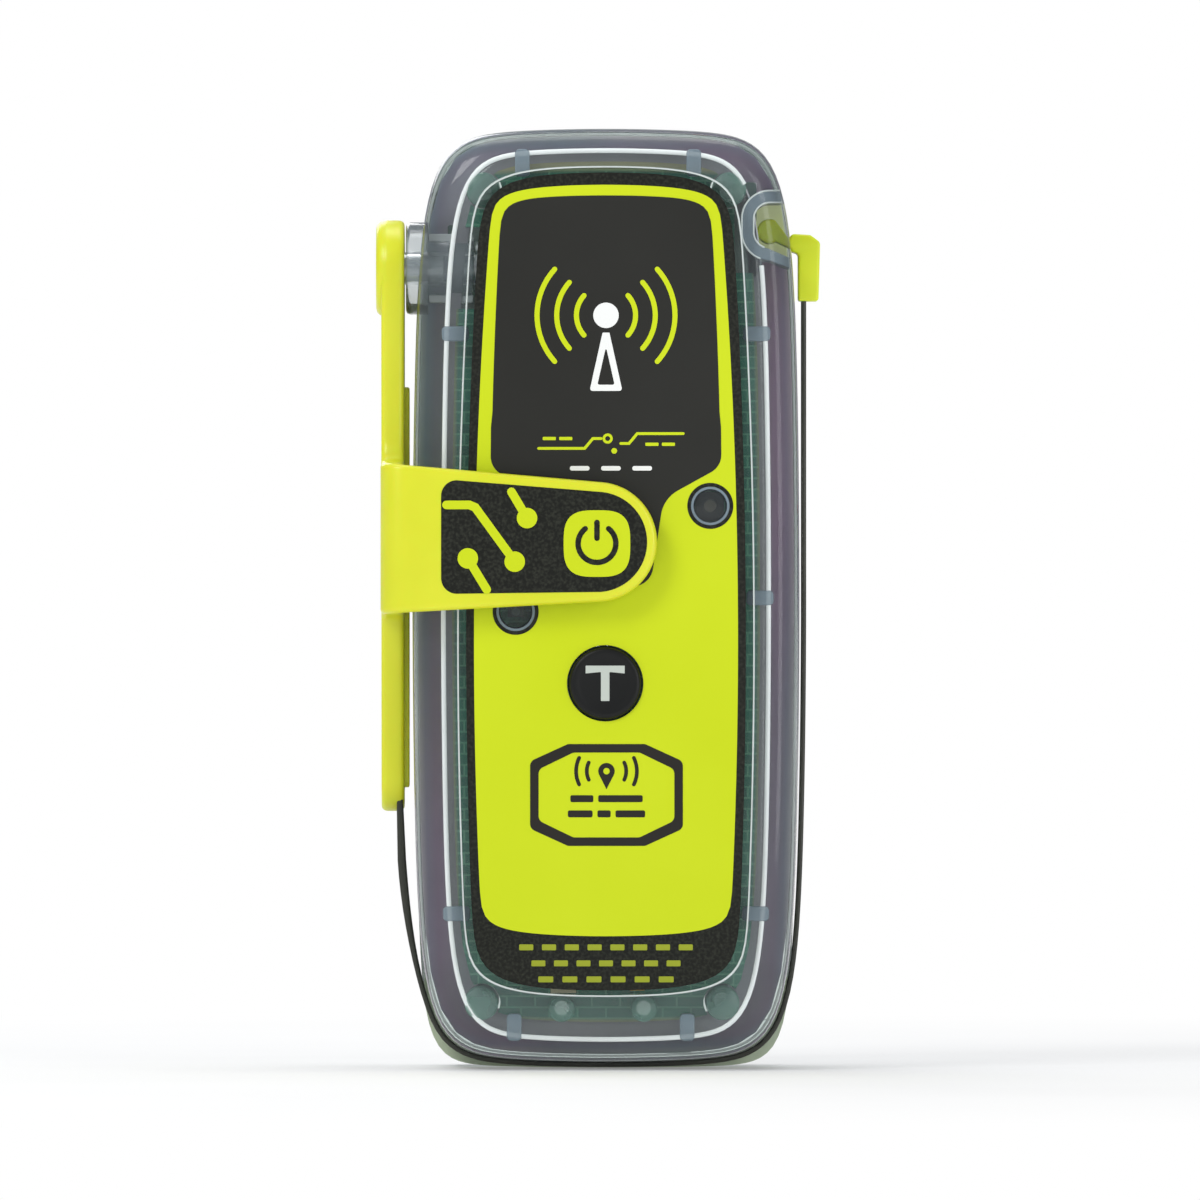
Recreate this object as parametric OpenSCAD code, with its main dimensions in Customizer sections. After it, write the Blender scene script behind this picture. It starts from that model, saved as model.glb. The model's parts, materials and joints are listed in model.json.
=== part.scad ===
// Compact emergency position beacon, millimetres.
// X runs to the right, Y runs to the back, Z runs up. The origin is the centre of the flat back face.

/* [Case] */
// Half of the case's width at mid-height
case_half = 23.6; // [23.2:0.1:24]
// Height of the case's top above the origin
case_top = 57.4; // [57:0.1:58]
// Height of the front shell's bottom below the origin
case_drop = 56.3; // [56:0.1:56.6]
// Depth from the back face to the front face round the label
case_depth = 34.4; // [34:0.1:34.8]
// Depth of the rear shell
rear_depth = 13.5; // [13:0.1:14]
// Thickness of the side walls
wall = 3.7; // [3.4:0.1:3.8]
// Thickness of the end walls
end_wall = 2.6; // [2.3:0.1:2.8]
// Thickness of the front wall
front_wall = 2.8; // [2.7:0.05:2.9]
// Thickness of the rear wall
rear_wall = 2.1; // [1.8:0.1:2.2]
// Radius of the front shoulder
shoulder_r = 4; // [3:0.1:4.5]
// Radius of the rear edge
rear_edge_r = 3; // [2:0.1:3.4]
// Thickness of the seal between the shells
gasket_t = 1; // [0.8:0.1:1.1]
// Width of the small gussets inside the front shell
rib_w = 1.8; // [1.2:0.1:2.2]
// Radius of a case screw's shank
screw_r = 1; // [0.8:0.05:1.1]

/* [Label] */
// Half of the width of the label's recess
recess_half = 17.9; // [17.5:0.1:18]
// Depth of the label's recess
recess_d = 0.5; // [0.4:0.05:0.6]
// Thickness of the printed overlay
label_t = 0.35; // [0.25:0.05:0.4]
// Radius of the round light windows
window_r = 2.35; // [2:0.05:2.6]

/* [Buttons] */
// Radius of a button cap
cap_r = 4.4; // [4:0.05:4.5]
// Travel of a button
press = 0.9; // [0.6:0.05:0.95]
// Running gap round a button's stem
stem_gap = 0.05; // [0.04:0.01:0.08]

/* [Antenna] */
// Height of the arm's hinge above the origin
hinge_z = 40.5; // [40:0.1:41]
// Depth of the hinge axis behind the front, measured from the back face
hinge_depth = 22; // [21.5:0.1:22.5]
// Radius of the hinge shaft
shaft_r = 2; // [1.8:0.05:2.1]
// Running gap round the hinge shaft
shaft_gap = 0.05; // [0.03:0.01:0.08]
// Radius of the arm's hub
hub_r = 5.9; // [5.5:0.1:6]
// Thickness of the arm
arm_t = 2.8; // [2.4:0.1:2.9]
// Thickness of the flap
flap_t = 2.3; // [1.8:0.1:2.4]
// Thickness of the blade
blade_t = 0.6; // [0.4:0.05:0.8]
// Width of the blade
blade_w = 6; // [5:0.1:6.4]
// Gap between the blade and the case where they are closest
blade_gap = 0.3; // [0.25:0.05:0.45]
// Free length left at each bend between two stretches of the blade
bend_gap = 0.5; // [0.4:0.05:0.7]

/* [Power] */
// Radius of a lithium cell
cell_r = 8.5; // [8:0.05:8.5]
// Length of a lithium cell
cell_l = 34.5; // [33:0.1:34.5]

/* [Mounts] */
// Radius of the lanyard eye
eye_r = 1.6; // [1.4:0.05:1.7]
// Thickness of the lanyard lug
lug_t = 3; // [2.6:0.1:3.2]
// Radius of a blind hole for the belt clip
clip_r = 1.25; // [1:0.05:1.3]
// Distance between the two blind holes
clip_pitch = 24; // [22:0.5:25]

/* [Hidden] */
$fn = 48;

// How far a joined solid runs into its neighbour, and how far a cut runs past a face
bite = 0.1;
past = 1;

// Depth planes, as Y values
front_y = -case_depth;
recess_y = front_y + recess_d;
split_y = -rear_depth;
front_back_y = split_y - gasket_t;
inner_y = front_y + front_wall;
hinge_y = -hinge_depth;

// Case outline: a barrel-sided box whose sides and ends are bowed
corner_power = 8;
side_bow = 0.052;
end_bow = 0.02;
shoulder_flat = 0.8;
far = 60;

// Outline of the rear shell's guard, squarer than the case
guard_power = 11;
guard_bow = 0.045;
guard_crown = 0.008;
guard_top = -45;
guard_t = 3;

// Outline of the label's recess, a frame with small corners
recess_top = 52.6;
recess_foot = -48.2;
recess_powers = [4.5, 25];
recess_bow = 0.085;
recess_taper = 0.024;
side_reach = 0.93;
label_side = 0.9;
label_end = 0.6;

// Gussets, as X or Z along their wall
gusset_z = [32.4, 0.2, -38.3];
gusset_top_x = [-10.2, 10.7];
gusset_foot_x = [-11.2, 9.9];
gusset_l = 3.2;
gusset_bite = 0.4;

// Screws, as X and Z
screw_spots = [[-15, 50], [15, 50], [-15.2, -49.2], [14.2, -49.2]];
post_r = 2.1;
head_r = 2;
head_t = 1.3;
seal_t = 0.4;
screw_l = 17;

// Locating pins at the board's foot, as X and Z
pin_spots = [[-5.4, -49.9], [4.6, -49.9]];
pin_r = 0.8;
pin_base_r = 1.6;
pin_rise = 0.6;

// Board screws, as X and Z
board_spots = [[-14.6, -20.5], [14.6, -6.5]];
board_screw_r = 0.75;

// Controls and lights, as X and Z
test_spot = [-0.1, -10.2];
power_spot = [-1.1, 6.6];
strobe_spot = [12.7, 11.4];
status_spot = [-11, -1.5];
strobe_t = 1.6;
status_t = 0.9;
pipe_r = window_r - 0.3;
pipe_gap = 0.5;
cap_gap = 0.2;
cap_rise = 0.6;
cap_t = 1.75;
cap_y = front_y - cap_rise;
stem_r = 1.6;
stem_end_y = inner_y + 0.35;
well_y = cap_y + cap_t + press + 0.05;

// Hinge stack along X
hub_out = -28.1;
arm_out = -27.45;
arm_in = arm_out + arm_t;
boss_face = -24.45;
boss_r = 5.65;
boss_root = -20.6;
bearing_r = 4.25;
bearing_in = -16.2;
shaft_in = -14.4;
ring_r = 0.3;
ring_x = [-19.6, -18];
clip_t = 0.5;

// Arm and flap
arm_foot = -25.9;
foot_r = 4.2;
foot_y = -20;
neck = 3;
rib_size = [5, 50];
rib_rise = 0.6;
flap_back_y = front_y - 1.2;
flap_y = flap_back_y - flap_t;
flap_top = 16.7;
flap_foot = -1.8;
flap_end = [-1.1, 7];
flap_end_r = 7.3;
flap_corner_r = 3;
inlay_t = 0.3;
inlay_left = -20.1;
inlay_top = 14.5;
inlay_foot = 0.6;
inlay_rim = 1.1;
shaft_cover = 0.8;

// Hooked tip and its pocket
hook_spot = [20, 45.05];
hook_r = 1.5;
pocket_spot = [19.9, 46.4];
pocket_r = 1.95;
pocket_wall = 1.6;
pocket_foot = 43.1;
pocket_wall_foot = 41.8;
pocket_slot = 7.8;
pocket_back_y = -16.2;
tip_in = 23.5;
tip_out = 26.2;
tip_foot = 36.5;
tip_low = 42.3;
tip_top = 44.7;
tip_rim = 0.4;

// Board
board_y = -25;
board_t = 1.6;
board_face = board_y - board_t;
board_side = 1.1;
board_top = 1.3;
board_foot = 2.1;
solder = 0.05;

// Cells
cell_y = -11.6;
cell_gap = 0.35;
pair_foot = -27.6;
flat_cell_z = pair_foot - cell_r - 1.4;
core_foot = -46.8;

// Lanyard eye, and the two holes for a belt clip
lug_x = 7.5;
eye_y = -4;
eye_z = -54.4;
eye_pocket = 4.2;
eye_depth = 7.5;
eye_roof = -51.8;
clip_z = -10;
clip_depth = 4;
clip_boss_r = clip_r + 1.1;

// Label on the back
plate = [30, 36];
plate_z = 27;
plate_d = 0.3;

// One round-cornered unit box, as points
function unit_box(n, steps) = [
    for (i = [0:steps - 1])
    let (c = cos(i * 360 / steps), s = sin(i * 360 / steps),
         k = pow(pow(abs(c), n) + pow(abs(s), n), -1 / n))
    [c * k, s * k]
];

// One unit frame with its own power across and along, as points round from the right side
function unit_frame(n, steps) =
    let (end_reach = pow(1 - pow(side_reach, n[1]), 1 / n[0]))
    [for (turn = [1, -1], part = [0, 1], i = [0:steps - 1])
        let (t = 2 * i / steps - 1, v = side_reach * t, u = -end_reach * t)
        part == 0 ? turn * [pow(1 - pow(abs(v), n[1]), 1 / n[0]), v]
                  : turn * [u, pow(1 - pow(abs(u), n[0]), 1 / n[1])]];

// Unit points stretched to a half width and two heights, with bowed sides and crowned ends
function stretched(points, half, top, foot, bow, crown, taper = 0) = [
    for (p = points)
    [half * p[0] * (1 - bow * pow(p[1], 2) - taper * p[1]),
     (top + foot) / 2 + (top - foot) / 2 * p[1] * (1 - crown * pow(p[0], 2))]
];

function outline(half, top, foot, n, bow, crown) =
    stretched(unit_box(n, 88), half, top, foot, bow, crown);

function case_outline(inset = 0) =
    outline(case_half - inset, case_top - inset, inset - case_drop, corner_power, side_bow, end_bow);

// The rear shell's lower corners stand a little outside the front shell
function guard_outline(inset = 0) =
    outline(case_half - bite - inset, case_top - inset, inset - case_top, guard_power, guard_bow, guard_crown);

// Inside of the side walls
function cavity_outline(grow = 0) =
    outline(case_half - wall + grow, case_top - end_wall + grow, end_wall - grow - case_drop,
            corner_power, side_bow, end_bow);

// Recess for the printed label, which is a little narrower at its foot
function recess_outline(side = 0, ends = 0) =
    stretched(unit_frame(recess_powers, 20), recess_half - side, recess_top - ends, recess_foot + ends,
              recess_bow, end_bow, recess_taper);

// Distance from the origin of the outline's tangent whose outward normal is at angle a
function reach(points, a) = max([for (p = points) p[0] * cos(a) + p[1] * sin(a)]);

// Meeting point of two lines, each given as [angle of normal, distance]
function meet(m, n) =
    let (d = cos(m[0]) * sin(n[0]) - sin(m[0]) * cos(n[0]))
    [(m[1] * sin(n[0]) - n[1] * sin(m[0])) / d, (cos(m[0]) * n[1] - cos(n[0]) * m[1]) / d];

// The blade's stretches lie on tangents of the case, turning from its left side to its right side
blade_off = blade_gap + blade_t / 2;
blade_turns = [0, 36, 90, 144, 180];
blade_bends = len(blade_turns) - 1;
blade_x = -25.2;
blade_lines = [
    for (i = [0:blade_bends])
    let (a = 180 + blade_turns[i])
    [a, i == 0 ? -blade_x : reach(case_outline(), a) + blade_off]
];
blade_top_z = -18;
blade_tip_z = 39.6;
blade_points = concat(
    [[blade_x, blade_top_z]],
    [for (i = [0:blade_bends - 1]) meet(blade_lines[i], blade_lines[i + 1])],
    [[case_half + blade_off, blade_tip_z]]
);
blade_back_y = -17;

// A flat shape in X and Z, given thickness from one Y to another further forward
module slab(back, front) translate([0, back, 0]) rotate([90, 0, 0]) linear_extrude(back - front) children();

// A flat shape in Y and Z, given thickness from one X to another
module across(from, to) translate([from, 0, 0]) rotate([90, 0, 90]) linear_extrude(to - from) children();

// A round bar along X
module x_bar(r, from, to) translate([from, 0, 0]) rotate([0, 90, 0]) cylinder(r = r, h = to - from);

// A round bar along Y at an X and Z spot
module y_bar(r, spot, back, front)
    translate([spot[0], back, spot[1]]) rotate([90, 0, 0]) cylinder(r = r, h = back - front);

// A hexagonal key socket along Y
module y_key(r, spot, back, front)
    translate([spot[0], back, spot[1]]) rotate([90, 0, 0]) cylinder(r = r, h = back - front, $fn = 6);

// A block along Y, centred on an X and Z spot
module y_block(spot, size, back, front)
    translate([spot[0] - size[0] / 2, front, spot[1] - size[1] / 2])
        cube([size[0], back - front, size[1]]);

// Everything above or below a height
module above(z) translate([-far, -far, z]) cube([2 * far, 2 * far, 2 * far]);
module below(z) translate([-far, -far, z - 2 * far]) cube([2 * far, 2 * far, 2 * far]);

module hinge_place() translate([0, hinge_y, hinge_z]) children();

// Front half of the case, solid, with its rounded shoulder
module front_mass() hull()
    for (a = [0:30:90])
        slab(front_back_y, front_y + shoulder_r * (1 - sin(a)))
            polygon(case_outline(shoulder_r * (1 - cos(a)) * shoulder_flat));

// Rear half of the case, solid, with its rounded rear edge
module rear_mass() hull()
    for (a = [0:45:90])
        slab(-rear_edge_r * (1 - sin(a)), split_y) union() {
            polygon(case_outline(rear_edge_r * (1 - cos(a))));
            polygon(guard_outline(rear_edge_r * (1 - cos(a))));
        }

// Blind well for a button's cap, with a hole for its stem
module button_well(spot) {
    y_bar(cap_r + cap_gap, spot, well_y, front_y - past);
    y_bar(stem_r + stem_gap, spot, inner_y + past, front_y - past);
}

// Walls of the pocket that holds the blade's tip
module pocket_walls() intersection() {
    slab(front_back_y, inner_y - bite) union() {
        translate(pocket_spot) circle(r = pocket_r + pocket_wall);
        translate([pocket_spot[0] - pocket_r - pocket_wall, pocket_wall_foot])
            square([case_half, pocket_spot[1] + pocket_r - pocket_wall_foot]);
    }
    slab(0, -far) polygon(case_outline(wall / 4));
}

// The pocket, closed to the front and open to the side
module pocket_space() {
    slab(pocket_back_y, inner_y + past) union() {
        translate(pocket_spot) circle(r = pocket_r);
        translate([pocket_spot[0] - pocket_r, pocket_foot])
            square([2 * pocket_r, pocket_spot[1] - pocket_foot]);
    }
    slab(pocket_back_y, pocket_back_y - pocket_slot)
        polygon([
            [pocket_spot[0], pocket_spot[1] + 0.5], [pocket_spot[0], pocket_foot],
            [tip_out + past, pocket_foot - 1.5], [tip_out + past, pocket_spot[1] - 0.6]
        ]);
}

// Gussets between the side walls and the front wall
module gussets() {
    set_in = gusset_bite - gusset_l / 2;
    at_side = case_half - wall + set_in;
    at_top = case_top - end_wall + set_in;
    at_foot = end_wall - case_drop - set_in;
    for (z = gusset_z, side = [-1, 1])
        y_block([side * at_side, z], [gusset_l, rib_w], board_face - 1, inner_y - bite);
    for (x = gusset_top_x) y_block([x, at_top], [rib_w, gusset_l], board_face - 1, inner_y - bite);
    for (x = gusset_foot_x) y_block([x, at_foot], [rib_w, gusset_l], board_face - 1, inner_y - bite);
}

module front_shell() color([0.72, 0.8, 0.8, 0.4]) difference() {
    union() {
        difference() {
            front_mass();
            slab(front_back_y + past, inner_y) polygon(cavity_outline());
        }
        for (s = screw_spots) y_bar(post_r, s, front_back_y, inner_y - bite);
        for (s = pin_spots) {
            y_bar(pin_base_r, s, board_face - bite, inner_y - bite);
            y_bar(pin_r, s, board_y + pin_rise, board_face - 2 * bite);
        }
        for (s = board_spots) y_bar(pin_base_r, s, board_face - bite, inner_y - bite);
        y_bar(pipe_r, strobe_spot, board_face - strobe_t - pipe_gap, inner_y - bite);
        y_bar(pipe_r, status_spot, board_face - status_t - pipe_gap, inner_y - bite);
        hinge_place() x_bar(boss_r, boss_face, boss_root);
        hinge_place() x_bar(bearing_r, boss_face, bearing_in);
        pocket_walls();
        gussets();
    }
    slab(recess_y, front_y - past) polygon(recess_outline());
    hinge_place() x_bar(shaft_r + shaft_gap, boss_face - past, bearing_in + past);
    for (s = screw_spots) y_bar(screw_r, s, front_back_y + past, -screw_l - 2);
    for (s = board_spots) y_bar(board_screw_r, s, board_y, inner_y + 0.5);
    button_well(test_spot);
    button_well(power_spot);
    pocket_space();
}

// Openings on both sides of the lanyard lug
module eye_pockets() {
    translate([lug_x - eye_pocket, -eye_depth, -2 * far]) cube([eye_pocket, eye_depth + past, 2 * far + eye_roof]);
    translate([lug_x + lug_t, -eye_depth, -2 * far]) cube([far, eye_depth + past, 2 * far + eye_roof]);
}

module clip_place()
    for (z = [-clip_pitch / 2, clip_pitch / 2]) translate([0, 0, clip_z + z]) children();

// Lips of the rear shell outside the front shell's lower corners, behind the blade
module guard_lips() intersection() {
    slab(split_y + bite, split_y - guard_t) difference() {
        polygon(guard_outline());
        polygon(case_outline(-bite));
    }
    below(guard_top);
}

module rear_shell() color([0.7, 0.8, 0.76, 0.4]) difference() {
    union() {
        difference() {
            union() {
                rear_mass();
                guard_lips();
            }
            intersection() {
                slab(-rear_wall, split_y - past) polygon(cavity_outline());
                above(core_foot);
            }
        }
        for (s = screw_spots) y_bar(post_r, s, bite - rear_wall, split_y);
        clip_place() y_bar(clip_boss_r, [0, 0], bite - rear_wall, -clip_depth - 1.2);
    }
    for (s = screw_spots) {
        y_bar(head_r + 0.1, s, past, -head_t - seal_t);
        y_bar(screw_r + 0.15, s, past, split_y - past);
    }
    clip_place() y_bar(clip_r, [0, 0], past, -clip_depth);
    eye_pockets();
    translate([0, eye_y, eye_z]) x_bar(eye_r, lug_x - past, lug_x + lug_t + past);
    y_block([0, plate_z], plate + [0.4, 0.4], past, -plate_d);
}

module case_gasket() color([0.5, 0.46, 0.55]) difference() {
    slab(split_y, front_back_y) difference() {
        polygon(case_outline(0.5));
        polygon(cavity_outline(0.2));
    }
    for (s = screw_spots) y_bar(post_r + 0.1, s, 0, -far);
}

module case_screws() color("silver") for (s = screw_spots) {
    difference() {
        y_bar(head_r, s, -0.1, -head_t);
        y_key(0.8, s, 0.5, -0.9);
    }
    y_bar(screw_r - 0.03, s, -head_t, -screw_l);
}

module screw_seals() color([0.1, 0.1, 0.11]) for (s = screw_spots)
    difference() {
        y_bar(head_r, s, -head_t, -head_t - seal_t);
        y_bar(screw_r + 0.1, s, 0, -5);
    }

module front_label() color([0.81, 0.87, 0.17]) difference() {
    slab(recess_y, recess_y - label_t) polygon(recess_outline(label_side, label_end));
    for (s = [test_spot, power_spot]) y_bar(cap_r + cap_gap + 0.05, s, 0, -far);
    for (s = [strobe_spot, status_spot]) y_bar(window_r, s, 0, -far);
}

module rear_label() color([0.86, 0.87, 0.85]) y_block([0, plate_z], plate, -0.05, -plate_d);

module button(spot) {
    y_bar(cap_r, spot, cap_y + cap_t, cap_y);
    y_bar(stem_r, spot, stem_end_y, cap_y + cap_t - 0.1);
}

module test_button() color([0.08, 0.09, 0.09]) button(test_spot);

module power_button() color([0.08, 0.09, 0.09]) button(power_spot);

module button_seals() color([0.25, 0.27, 0.28]) for (s = [test_spot, power_spot])
    difference() {
        y_bar(3.4, s, inner_y + 0.45, inner_y);
        y_bar(stem_r + 0.1, s, 0, -far);
    }

// Outline of the flap or of a panel on it: a square end on the left and a round end on the right
function flap_shape(left, top, foot, r) = concat(
    [[left, foot]],
    [for (i = [0:32]) let (a = -86 + i * 170 / 32) flap_end + r * [cos(a), sin(a)]],
    [[left, top]]
);

function inlay_shape(inset = 0) =
    flap_shape(inlay_left + inset, inlay_top - inset, inlay_foot + inset, flap_end_r - inlay_rim - inset);

// Side view of the arm, as Y and Z
module arm_side() union() {
    foot = [foot_y, arm_foot + foot_r];
    polygon([
        [hinge_y - hub_r, hinge_z], [hinge_y + hub_r, hinge_z],
        [foot[0] + foot_r, foot[1]], [foot[0] - foot_r, foot[1]]
    ]);
    translate(foot) circle(r = foot_r);
    translate([hinge_y, hinge_z]) circle(r = hub_r);
    translate([flap_y, flap_foot]) square([hinge_y + neck - flap_y, flap_top - flap_foot]);
}

module antenna_arm() color([0.87, 0.87, 0.2]) difference() {
    union() {
        across(arm_out, arm_in) arm_side();
        hinge_place() x_bar(hub_r, hub_out, arm_in);
        slab(flap_back_y, flap_y) polygon(flap_shape(arm_out, flap_top, flap_foot, flap_end_r));
        across(arm_in - bite, arm_in + rib_rise)
            translate([foot_y - rib_size[0] / 2 - bite, arm_foot + rib_size[0] / 2]) square(rib_size);
    }
    translate([arm_out, flap_y, flap_foot - 1]) difference() {
        translate([-1, -1, 0]) cube([flap_corner_r + 1, flap_corner_r + 1, flap_top - flap_foot + 2]);
        translate([flap_corner_r, flap_corner_r, -1]) cylinder(r = flap_corner_r, h = far);
    }
    slab(flap_y + inlay_t, flap_y - past) polygon(inlay_shape());
    hinge_place() x_bar(shaft_r, arm_out + shaft_cover, 0);
    translate([blade_x - blade_t / 2, blade_back_y - blade_w, -far]) cube([blade_t, blade_w, far + blade_top_z]);
}

module flap_inlay() color([0.13, 0.14, 0.12])
    slab(flap_y + inlay_t, flap_y + 0.02) polygon(inlay_shape(0.05));

module hinge_shaft() color("silver") hinge_place() difference() {
    x_bar(shaft_r, arm_out + shaft_cover, shaft_in);
    for (x = ring_x) groove(x - ring_r - 0.05, 2 * ring_r + 0.1, shaft_r - 2 * ring_r);
    groove(bearing_in + 0.2, clip_t + 0.1, shaft_r - 0.4);
}

// Ring-shaped cut round the shaft
module groove(x, w, r) translate([x, 0, 0]) rotate([0, 90, 0]) difference() {
    cylinder(r = shaft_r + 1, h = w);
    translate([0, 0, -1]) cylinder(r = r, h = w + 2);
}

module hinge_o_rings() color([0.12, 0.2, 0.42]) hinge_place() for (x = ring_x)
    translate([x, 0, 0]) rotate([0, 90, 0])
        rotate_extrude() translate([shaft_r - ring_r + 0.02, 0]) circle(r = ring_r - 0.02, $fn = 24);

module hinge_clip() color("dimgray") hinge_place() difference() {
    x_bar(3.3, bearing_in + 0.25, bearing_in + 0.25 + clip_t);
    x_bar(shaft_r - 0.35, bearing_in - 1, bearing_in + 2);
    translate([bearing_in, -1.3, -5]) cube([2, 2.6, 5]);
}

// Leaf that presses on the shaft's inner end and feeds the antenna
module contact_spring() color([0.8, 0.65, 0.3]) translate([shaft_in + 0.05, 0, hinge_z - 2.6]) {
    leaf_t = 0.3;
    translate([0, hinge_y - 1, 0]) cube([leaf_t, 2, 4.2]);
    translate([0, board_y + solder, 0]) cube([leaf_t, hinge_y - board_y - solder, 1.6]);
    translate([0, board_y + solder, 0]) cube([3, leaf_t, 1.6]);
}

// One straight stretch of the blade, short of its bends by half the gap
module blade_link(i) color([0.16, 0.17, 0.17]) {
    a = blade_points[i];
    d = blade_points[i + 1] - a;
    from = i == 0 ? 0 : bend_gap / 2;
    to = norm(d) - (i == blade_bends ? 0 : bend_gap / 2);
    translate([a[0], blade_back_y - blade_w, a[1]]) rotate([0, -atan2(d[1], d[0]), 0])
        translate([from, 0, -blade_t / 2]) cube([to - from, blade_w, blade_t]);
}

module blade_root() blade_link(0);
module blade_link_1() blade_link(1);
module blade_link_2() blade_link(2);
module blade_link_3() blade_link(3);
module blade_link_4() blade_link(4);

module tip_clip() color([0.85, 0.85, 0.1]) difference() {
    slab(blade_back_y + tip_rim, blade_back_y - blade_w - tip_rim) union() {
        translate(hook_spot) circle(r = hook_r);
        polygon([
            [hook_spot[0], hook_spot[1] + 1.2], [hook_spot[0], hook_spot[1] - 1.4],
            [tip_in - 0.6, tip_low + 0.2], [tip_in, tip_low], [tip_in, tip_foot], [tip_out - 0.2, tip_foot],
            [tip_out, tip_top - 1], [tip_out - 1, tip_top - 0.2], [tip_in - 1.1, tip_top]
        ]);
    }
    translate([case_half + blade_gap, blade_back_y - blade_w, 0]) cube([blade_t, blade_w, blade_tip_z]);
}

function board_outline() =
    outline(case_half - wall - board_side, case_top - end_wall - board_top, end_wall + board_foot - case_drop,
            corner_power, side_bow, end_bow);

module main_board() color([0.14, 0.4, 0.36]) difference() {
    slab(board_y, board_face) polygon(board_outline());
    for (s = screw_spots) y_bar(post_r + 0.2, s, 0, -far);
    for (s = pin_spots) y_bar(pin_r + 0.1, s, 0, -far);
    for (s = board_spots) y_bar(board_screw_r + 0.1, s, 0, -far);
    translate([-far, -far, hinge_z - 5]) cube([far + shaft_in - 0.6, far, 10]);
    y_block([pocket_spot[0] + 1, pocket_spot[1] - 1], [10.4, 11], 0, -far);
}

module gps_patch() color([0.85, 0.8, 0.7]) y_block([0, -23.8], [18, 18], board_face - solder, board_face - 3.6);

// A folded metal can, open towards the board
module can(spot, size, height) difference() {
    y_block(spot, size, board_face - solder, board_face - height);
    y_block(spot, size - [0.4, 0.4], board_face + 1, board_face - height + 0.2);
}

module radio_shield() color("silver") can([1, 36], [22, 17], 2.2);

module processor_shield() color("silver") can([0, -40.5], [16, 9], 1.8);

module oscillator() color([0.8, 0.75, 0.55]) y_block([-9, 21], [5, 3.2], board_face - solder, board_face - 1.3);

module matching_coil() color([0.72, 0.4, 0.2]) translate([-6, board_y + 1.9, 46]) {
    x_bar(1.2, 0, 5);
    for (i = [0:4]) translate([0.5 + i, 0, 0]) rotate([0, 90, 0])
        rotate_extrude() translate([1.2, 0]) circle(r = 0.35, $fn = 16);
}

module strobe_led() color([0.95, 0.9, 0.7]) {
    y_block(strobe_spot, [3.5, 3.5], board_face - solder, board_face - strobe_t + 0.6);
    y_bar(1.3, strobe_spot, board_face - strobe_t + 0.7, board_face - strobe_t);
}

module status_led() color([0.9, 0.95, 0.9])
    y_block(status_spot, [2, 1.3], board_face - solder, board_face - status_t);

module tact_switches() color([0.2, 0.2, 0.22]) for (s = [test_spot, power_spot]) {
    y_block(s, [6, 6], board_face - solder, inner_y + 1.9);
    y_bar(1.7, s, inner_y + 2, inner_y + 1.4);
}

// Small parts on the board's front
module chip_parts() color([0.78, 0.72, 0.6]) {
    y_block([-5.2, -47.2], [3.1, 1.7], board_face - solder, board_face - 1.2);
    for (i = [0:4], side = [-1, 1])
        y_block([side * 11.4, -34 + i * 5], [1.6, 0.8], board_face - solder, board_face - 0.7);
    for (i = [0:3]) y_block([-6 + i * 4, 48], [1.6, 0.8], board_face - solder, board_face - 0.7);
}

module tantalum_parts() color([0.85, 0.65, 0.15]) {
    y_block([3.8, -47.2], [1.8, 1.1], board_face - solder, board_face - 1.1);
    for (x = [-11, 7]) y_block([x, 25.4], [3.5, 1.8], board_face - solder, board_face - 1.6);
}

module battery_connector() color([0.9, 0.88, 0.8]) difference() {
    y_block([10, 16], [7.5, 4.5], board_y + 3.6, board_y + solder);
    for (x = [cell_r, 11.4]) translate([x - 0.8, board_y + 1, 13]) cube([1.6, 1.6, 3.4]);
}

// One cell along Z from its foot
module cell() {
    cylinder(r = cell_r, h = cell_l - 0.8);
    cylinder(r = 3, h = cell_l);
}

module battery_cells() color([0.2, 0.33, 0.6]) {
    for (side = [-1, 1]) translate([side * (cell_r + cell_gap / 2), cell_y, pair_foot]) cell();
    translate([-cell_l / 2, cell_y, flat_cell_z]) rotate([0, 90, 0]) cell();
}

// Welded strips on the cells' ends
module cell_tabs() color([0.8, 0.8, 0.78]) {
    strip_t = 0.25;
    for (side = [-1, 1])
        translate([side * cell_r - 2.5, cell_y - 2.5, pair_foot + cell_l + solder]) cube([5, 5, strip_t]);
    translate([-cell_r - 3, cell_y - 2.5, pair_foot - strip_t - solder]) cube([2 * cell_r + 6, 5, strip_t]);
    for (side = [-1, 1])
        translate([side * (cell_l / 2 + 0.2) - strip_t / 2, cell_y - 2.5, flat_cell_z - 4]) cube([strip_t, 5, 8]);
}

// A wire through a list of points
module wire(points, r) for (i = [0:len(points) - 2]) {
    d = points[i + 1] - points[i];
    translate(points[i]) rotate([0, acos(d[2] / norm(d)), atan2(d[1], d[0])]) cylinder(r = r, h = norm(d));
    if (i > 0) translate(points[i]) sphere(r = r);
}

wire_r = 0.55;
plug_y = board_y + 1.8;
lead_z = pair_foot + cell_l + 0.9;

module red_wire() color([0.7, 0.1, 0.08]) wire([
    [cell_r, cell_y, lead_z], [cell_r, cell_y, 11], [cell_r, plug_y, 11], [cell_r, plug_y, 15.6]
], wire_r);

module black_wire() color([0.1, 0.1, 0.1]) {
    lead_y = cell_y - 2;
    wire([
        [-cell_r, lead_y, lead_z], [-cell_r, lead_y, 9.6], [11.4, lead_y, 9.6], [11.4, plug_y, 9.6],
        [11.4, plug_y, 15.6]
    ], wire_r);
}

module foam_pad() color([0.3, 0.3, 0.33]) difference() {
    slab(-rear_wall - 0.05, cell_y + cell_r + 0.05) translate([-16, -45]) square([32, 51]);
    clip_place() y_bar(clip_boss_r + 0.2, [0, 0], 0, -far);
}

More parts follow.
